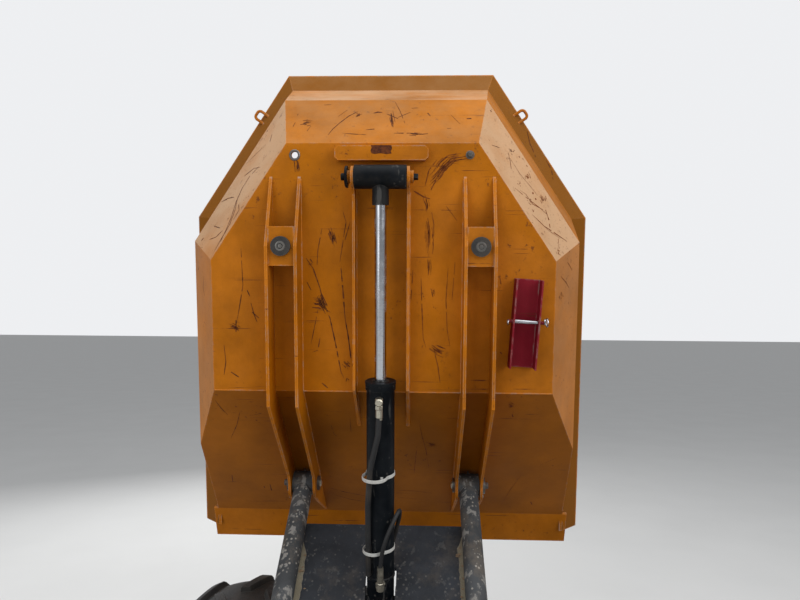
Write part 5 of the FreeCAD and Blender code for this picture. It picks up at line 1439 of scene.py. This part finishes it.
def guard_rims(bm):
    """Rolled edge along each mudguard and the bolts of its side plate."""
    for sign, side in sides(rear):
        arc = [math.radians(-51.5 + 103 * i / 36) for i in range(37)]
        tube(bm, [guard_top(a, sign * 1.008, 0.5905) for a in arc], 0.0065, 12)
        for end in (-51.6, 51.6):
            tube(bm, [guard_top(math.radians(end), sign * y, 0.5905) for y in (0.606, 1.008)], 0.0055, 10)
        for i in range(6):
            bolt(bm, rear(-2.03 + i * 0.105, sign * 0.6055, 0.845), side, 0.0075)


def beacon_parts(bm):
    """Screwed base ring, cap and foot of the beacon."""
    at = rear(-2.140, 0.250, 2.802)
    turned(bm, at, UP, (0, 62.5, 4, 64.5, 18, 64.5, 22, 60, 24, 58.5), 48)
    turned(bm, at, UP, (121.5, 30, 124, 28, 126, 18), 32)
    for x, y in circle(3, 0.061):
        turned(bm, at + Vector((x, y, 0.020)), UP, (0, 5, 4, 5, 5, 3), 12)
    turned(bm, rear(-2.140, 0.250, 2.770), UP, (0, 31.5, 3, 34, 22, 34, 25, 31.5), 32)


# Under the bonnet
def engine_cast(bm):
    """Finned sump and head, intake and exhaust manifolds, pulleys and fan on the plain block."""
    for i in range(11):
        x = -2.680 + i * 0.034
        for sign in (-1, 1):
            block(bm, rear, (x, sign * 0.2295, 0.93), (x + 0.012, sign * 0.250, 1.12), 0.002)
    block(bm, rear, (-2.675, -0.075, 1.244), (-2.335, 0.075, 1.300), 0.012)
    for x in (-2.64, -2.56, -2.45, -2.37):
        turned(bm, rear(x, 0, 1.299), UP, (0, 12, 6, 12, 8, 9), 6)
    turned(bm, rear(-2.46, 0.02, 1.299), UP, (0, 30, 16, 30, 20, 24), 24)
    for x in (-2.62, -2.51, -2.40):
        pipe(bm, rear, ((x, 0.10, 1.243), (x, 0.10, 1.285), (x, 0.20, 1.285)), 0.03, 0.022, 16)
    tube(bm, [rear(-2.65, 0.205, 1.285), rear(-2.37, 0.205, 1.285)], 0.028, 20)
    for y, z, size in ((0.0, 0.98, 85), (0.13, 1.14, 45), (0.0, 1.17, 60)):
        turned(bm, rear(-2.7000, y, z), REAR_BACK, (0, size * 0.5, 14, size * 0.5, 14, size, 18, size, 24, size * 0.88,
                                                    30, size, 34, size, 34, size * 0.4), 36)


def engine_belt(bm):
    """The belt round the three pulleys, and the fan's blades."""
    hubs = ((0.0, 0.98, 0.080), (0.13, 1.14, 0.041), (0.0, 1.17, 0.056))
    rim = []
    for c, s in circle(72, 1.0):
        _, y, z, r = max((y * c + z * s + r, y, z, r) for y, z, r in hubs)
        rim.append((y + r * c, z + r * s))
    bridge(bm, *[[bm.verts.new(rear(x, y, z)) for y, z in rim] for x in (-2.719, -2.730)])
    blade = ((0.045, -0.022, 0.006), (0.045, 0.022, -0.006), (0.155, 0.045, -0.016), (0.155, -0.045, 0.016))
    for c, s in circle(7, 1.0):
        slab(bm, [rear(-2.757 + lean, r * c - w * s, 1.10 + r * s + w * c) for r, w, lean in blade],
             REAR_BACK * 0.002)


def engine_pipes(bm):
    """Silencer with its bands and pipes, on the right of the block."""
    y = -0.305
    turned(bm, rear(-2.66, y, 1.225), REAR_AHEAD, (0, 20, 4, 62, 10, 66, 300, 66, 306, 62, 310, 20), 36)
    pipe(bm, rear, ((-2.62, -0.12, 1.243), (-2.62, -0.12, 1.300), (-2.62, y, 1.300), (-2.62, y, 1.280)),
         0.03, 0.020, 16)
    pipe(bm, rear, ((-2.36, y, 1.225), (-2.305, y, 1.225), (-2.305, y, 0.90)), 0.05, 0.021, 16)
    for x in (-2.60, -2.42):
        turned(bm, rear(x, y, 1.225), REAR_AHEAD, (0, 67.5, 18, 67.5), 36)


def engine_plastic(bm):
    """Air cleaner, battery and hoses."""
    turned(bm, rear(-2.64, 0.325, 1.235), REAR_AHEAD, (0, 50, 6, 72, 45, 74, 47, 78, 60, 78, 62, 72, 290, 70,
                                                       296, 55), 40)
    pipe(bm, rear, ((-2.40, 0.325, 1.300), (-2.40, 0.325, 1.345), (-2.40, 0.19, 1.345), (-2.40, 0.19, 1.295)),
         0.045, 0.026, 18, 7)
    block(bm, rear, (-2.62, 0.275, 0.889), (-2.36, 0.405, 1.060), 0.006)
    block(bm, rear, (-2.625, 0.270, 1.058), (-2.355, 0.410, 1.078), 0.004)
    for x in (-2.58, -2.40):
        turned(bm, rear(x, 0.34, 1.077), UP, (0, 14, 8, 14, 8, 9, 20, 8.5), 16)
    pipe(bm, rear, ((-2.700, -0.10, 1.20), (-2.745, -0.10, 1.20), (-2.745, -0.10, 1.33), (-2.56, -0.10, 1.33),
                    (-2.56, -0.04, 1.299)), 0.04, 0.018, 16, 7)


# Seat: cloth over foam, pressed out by a short simulation
# Node, pressure, share of the block that the pad starts with, and how far it starts lower
SEATS = (
    ("seat_cushion", 7.0, (0.955, 0.955, 0.80), -0.008),
    ("seat_back", 5.0, (0.80, 0.950, 0.965), 0.0),
)
SWELL_LIMIT = 0.020
CLOTH_STEPS = 20
CLOTH = {"quality": 5, "mass": 0.3, "use_pressure": True, "tension_stiffness": 18, "compression_stiffness": 12,
         "bending_stiffness": 0.4}
SEAMS = (-0.120, 0.0, 0.120)
SEAM_WIDTH = 0.007


def blown_pad(node, pressure, share, drop):
    """A pad in the CAD block's place: a smaller copy, remeshed, swollen under pressure, then smoothed."""
    source = NODES[node]
    mesh = bpy.data.meshes.new_from_object(source)
    mesh.transform(source.matrix_world)
    low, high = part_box(node)
    middle = (Vector(low) + Vector(high)) / 2
    pad = bpy.data.objects.new(node + "_cover", mesh)
    bpy.context.scene.collection.objects.link(pad)
    turn = Matrix.Rotation(REAR_TURN, 3, "Z")
    local = [turn.inverted() @ (v.co - middle) for v in mesh.vertices]
    for v, co in zip(mesh.vertices, local):
        v.co = turn @ (Vector([c * s for c, s in zip(co, Vector(share))]) + Vector((0, 0, drop))) + middle
    soft = pad.modifiers.new("remesh", "REMESH")
    soft.mode = "VOXEL"
    soft.voxel_size = 0.006
    settle(pad)
    round_corners(pad)
    before = [v.co.copy() for v in pad.data.vertices]
    cloth = pad.modifiers.new("cloth", "CLOTH")
    for setting, value in CLOTH.items():
        setattr(cloth.settings, setting, value)
    cloth.settings.uniform_pressure_force = pressure
    cloth.settings.effector_weights.gravity = 0
    cloth.collision_settings.use_collision = False
    cloth.point_cache.frame_start = 1
    cloth.point_cache.frame_end = CLOTH_STEPS
    for step in range(1, CLOTH_STEPS + 1):
        bpy.context.scene.frame_set(step)
    settle(pad)
    bpy.context.scene.frame_set(1)
    for v, old in zip(pad.data.vertices, before):
        move = v.co - old
        if move.length > SWELL_LIMIT:
            v.co = old + move.normalized() * SWELL_LIMIT
    return pad, middle, turn


def settle(obj):
    """Applies the modifiers on an object."""
    graph = bpy.context.evaluated_depsgraph_get()
    mesh = bpy.data.meshes.new_from_object(obj.evaluated_get(graph))
    obj.modifiers.clear()
    obj.data = mesh


def round_corners(obj):
    """A few passes of smoothing, so that the block's corners are round before it swells."""
    bm = bmesh.new()
    bm.from_mesh(obj.data)
    for _ in range(7):
        bmesh.ops.smooth_vert(bm, verts=bm.verts, factor=0.5, use_axis_x=True, use_axis_y=True, use_axis_z=True)
    bm.to_mesh(obj.data)
    bm.free()


def add_seat():
    """Cushion and back with pressed seams and a hollow, kept inside their CAD blocks' room."""
    for node, pressure, share, drop in SEATS:
        pad, middle, turn = blown_pad(node, pressure, share, drop)
        back = turn.inverted()
        lying = node == "seat_cushion"
        for v in pad.data.vertices:
            p = back @ (v.co - middle)
            if lying:
                depth = max(0.0, p.z) / 0.05
                for line in SEAMS:
                    p.z -= SEAM_WIDTH * math.exp(-((p.y - line) / SEAM_WIDTH) ** 2) * min(1.0, depth)
                p.z -= 0.010 * math.exp(-((p.x + 0.03) / 0.17) ** 2 - (p.y / 0.17) ** 2) * min(1.0, depth)
                p.z = max(p.z, -0.0515)
                p.x = max(p.x, -0.2195)
            else:
                lean = (p.z + 0.26) * (-0.060 / 0.52)
                if p.x - lean > 0:
                    for line in SEAMS:
                        p.x -= SEAM_WIDTH * math.exp(-((p.y - line) / SEAM_WIDTH) ** 2)
                    p.x += 0.012 * math.exp(-((p.z + 0.10) / 0.09) ** 2) - 0.010
            v.co = turn @ p + middle
        pad.data.materials.clear()
        pad.data.materials.append(MATERIALS["seat_vinyl"])
        pad.data.polygons.foreach_set("use_smooth", [True] * len(pad.data.polygons))
        smooth = pad.modifiers.new("smooth", "SUBSURF")
        smooth.levels = 1
        smooth.render_levels = 1
        settle(pad)
        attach(pad, "rear_chassis")
        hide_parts(node)


def seat_piping(bm):
    """Piping round the cushion's top edge."""
    corners = [rear(x, y, 1.318) for x, y in ((-2.045, -0.222), (-1.655, -0.222), (-1.655, 0.222), (-2.045, 0.222))]
    ring = []
    for i, here in enumerate(corners):
        ring += bend([corners[i - 1], here, corners[(i + 1) % 4]], 0.045, 6)[1:-1]
    tube(bm, ring, 0.0042, 10, True)


def seat_hardware(bm):
    """Belt reel, buckle on its stalk, and the seat's recliner plates."""
    for sign, side in sides(rear):
        block(bm, rear, (-2.125, sign * 0.2475, BOX_Z), (-2.065, sign * 0.2525, 1.330), 0.0015)
        turned(bm, rear(-2.095, sign * 0.2525, 1.290), side, (0, 22, 6, 22, 10, 18, 14, 10), 24)
    block(bm, rear, (-2.065, 0.254, BOX_Z), (-2.005, 0.296, 1.292), 0.006)
    block(bm, rear, (-1.975, -0.266, 1.285), (-1.950, -0.252, 1.345), 0.003, turn_y(15))
    tube(bm, [rear(-1.985, -0.259, BOX_Z), rear(-1.965, -0.259, 1.295)], 0.006, 10)


def valve_block(bm):
    """The front frame's valve block with its ports, caps and hose stubs."""
    block(bm, front, (-0.10, -0.325, 0.70), (0.10, -0.2600, 0.82), 0.004)
    for i in range(4):
        x = -0.07 + 0.047 * i
        turned(bm, front(x, -0.325, 0.73), Vector((0, -1, 0)), (0, 13, 12, 13, 13, 10, 24, 10), 6)
        turned(bm, front(x, -0.29, 0.819), UP, (0, 15, 20, 15, 22, 12), 20)
        pipe(bm, front, ((x, -0.337, 0.73), (x, -0.365, 0.73), (x, -0.367, 0.70), (x, -0.27, 0.665),
                         (x, -0.20, 0.655)), 0.018, 0.0085)


add_camera()
add_studio()
dress_frame()
blacken_eye()
# Pieces that keep their maker's name, by body: maker, material and crease angle in degrees
for body, rows in (
        ("skip", (
            (skip_welds, "skip_paint", 40), (fold_welds, "skip_paint", 40), (scratches, "scraped", None),
            (skip_fastenings, "pin_steel", 30), (header_notch, "scraped", None), (eye_pin, "ram_paint", 30),
            (lock_clips, "rod_chrome", 40), (pin_caps, "zinc_plate", 30), (corner_fittings, "pin_steel", 30))),
        ("ram_barrel", (
            (ram_rings, "ram_paint", 30), (ram_fittings, "zinc_plate", 30), (hose_block, "pin_steel", 30),
            (ram_ties, "tie_plastic", 40))),
        ("front_chassis", (
            (slew_bolts, "pin_steel", 30), (front_welds, "chassis_paint", 40), (valve_block, "cast_metal", 40))),
        ("cradle", (
            (cradle_bolts, "pin_steel", 30), (cradle_welds, "chassis_paint", 40), (cradle_mud, "mud", 60),
            (rail_bands, "dried_soil", 70))),
        ("rear_chassis", (
            (floor_mud, "mud", 60), (dial_rims, "plastic_dark", 35), (dial_faces, "dial_face", None),
            (dial_marks, "lens_red", None), (dash_lights, "lens_amber", 40), (key_and_nuts, "pin_steel", 30),
            (column_collar, "rubber_black", 40), (levers, "rod_chrome", 40), (lever_boots, "rubber_black", 40),
            (pedals, "rubber_black", 35), (fuel_caps, "plastic_dark", 35), (sight_glass, "lens_amber", 35),
            (tank_straps, "pin_steel", 35), (grab_rails, "chassis_paint", 40), (post_bolts, "pin_steel", 30),
            (box_louvres, "body_paint", None), (latches, "rubber_black", 35), (lamp_frames, "plastic_dark", 35),
            (amber_lenses, "lens_amber", 35), (reflectors, "lens_red", 35), (weight_bolts, "pin_steel", 30),
            (guard_rims, "chassis_paint", 40), (seat_hardware, "plastic_dark", 35),
            (seat_piping, "rubber_black", 60), (engine_cast, "cast_metal", 35), (engine_belt, "rubber_black", None),
            (engine_pipes, "pin_steel", 35), (engine_plastic, "plastic_dark", 35))),
        ("bonnet", ((bonnet_louvres, "body_paint", None), (bonnet_fittings, "pin_steel", 35))),
        ("rops_hoop", ((beacon_parts, "plastic_dark", 35),))):
    for maker, material, crease in rows:
        new_piece(maker.__name__, body, material, maker, crease)
new_piece("rust_marks", "skip", "soft_rust", lambda bm: scratches(bm, True))
add_low_hose()
for end, place, x in (("front", front, FRONT_AXLE_X), ("rear", rear, REAR_AXLE_X)):
    for suffix, material, maker, crease in (("_bolts", "pin_steel", axle_details, 30),
                                            ("_ports", "rubber_black", motor_ports, 40)):
        new_piece(end + "_axle" + suffix, end + "_chassis", material, lambda bm: maker(bm, place, x), crease)
for body, (centre, outward) in WHEELS.items():
    for suffix, material, maker, crease in (
            ("_tyre", "tyre_rubber", tyre_mesh, 32), ("_rim_edges", "rim_paint", rim_edges, 40),
            ("_nuts", "pin_steel", wheel_nuts, 30), ("_valve", "rubber_black", valve, 40)):
        piece = new_piece(body + suffix, body, material, lambda bm: maker(bm, centre, outward), crease)
        if suffix == "_tyre":
            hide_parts(body.replace("wheel", "tyre"))
add_seat()
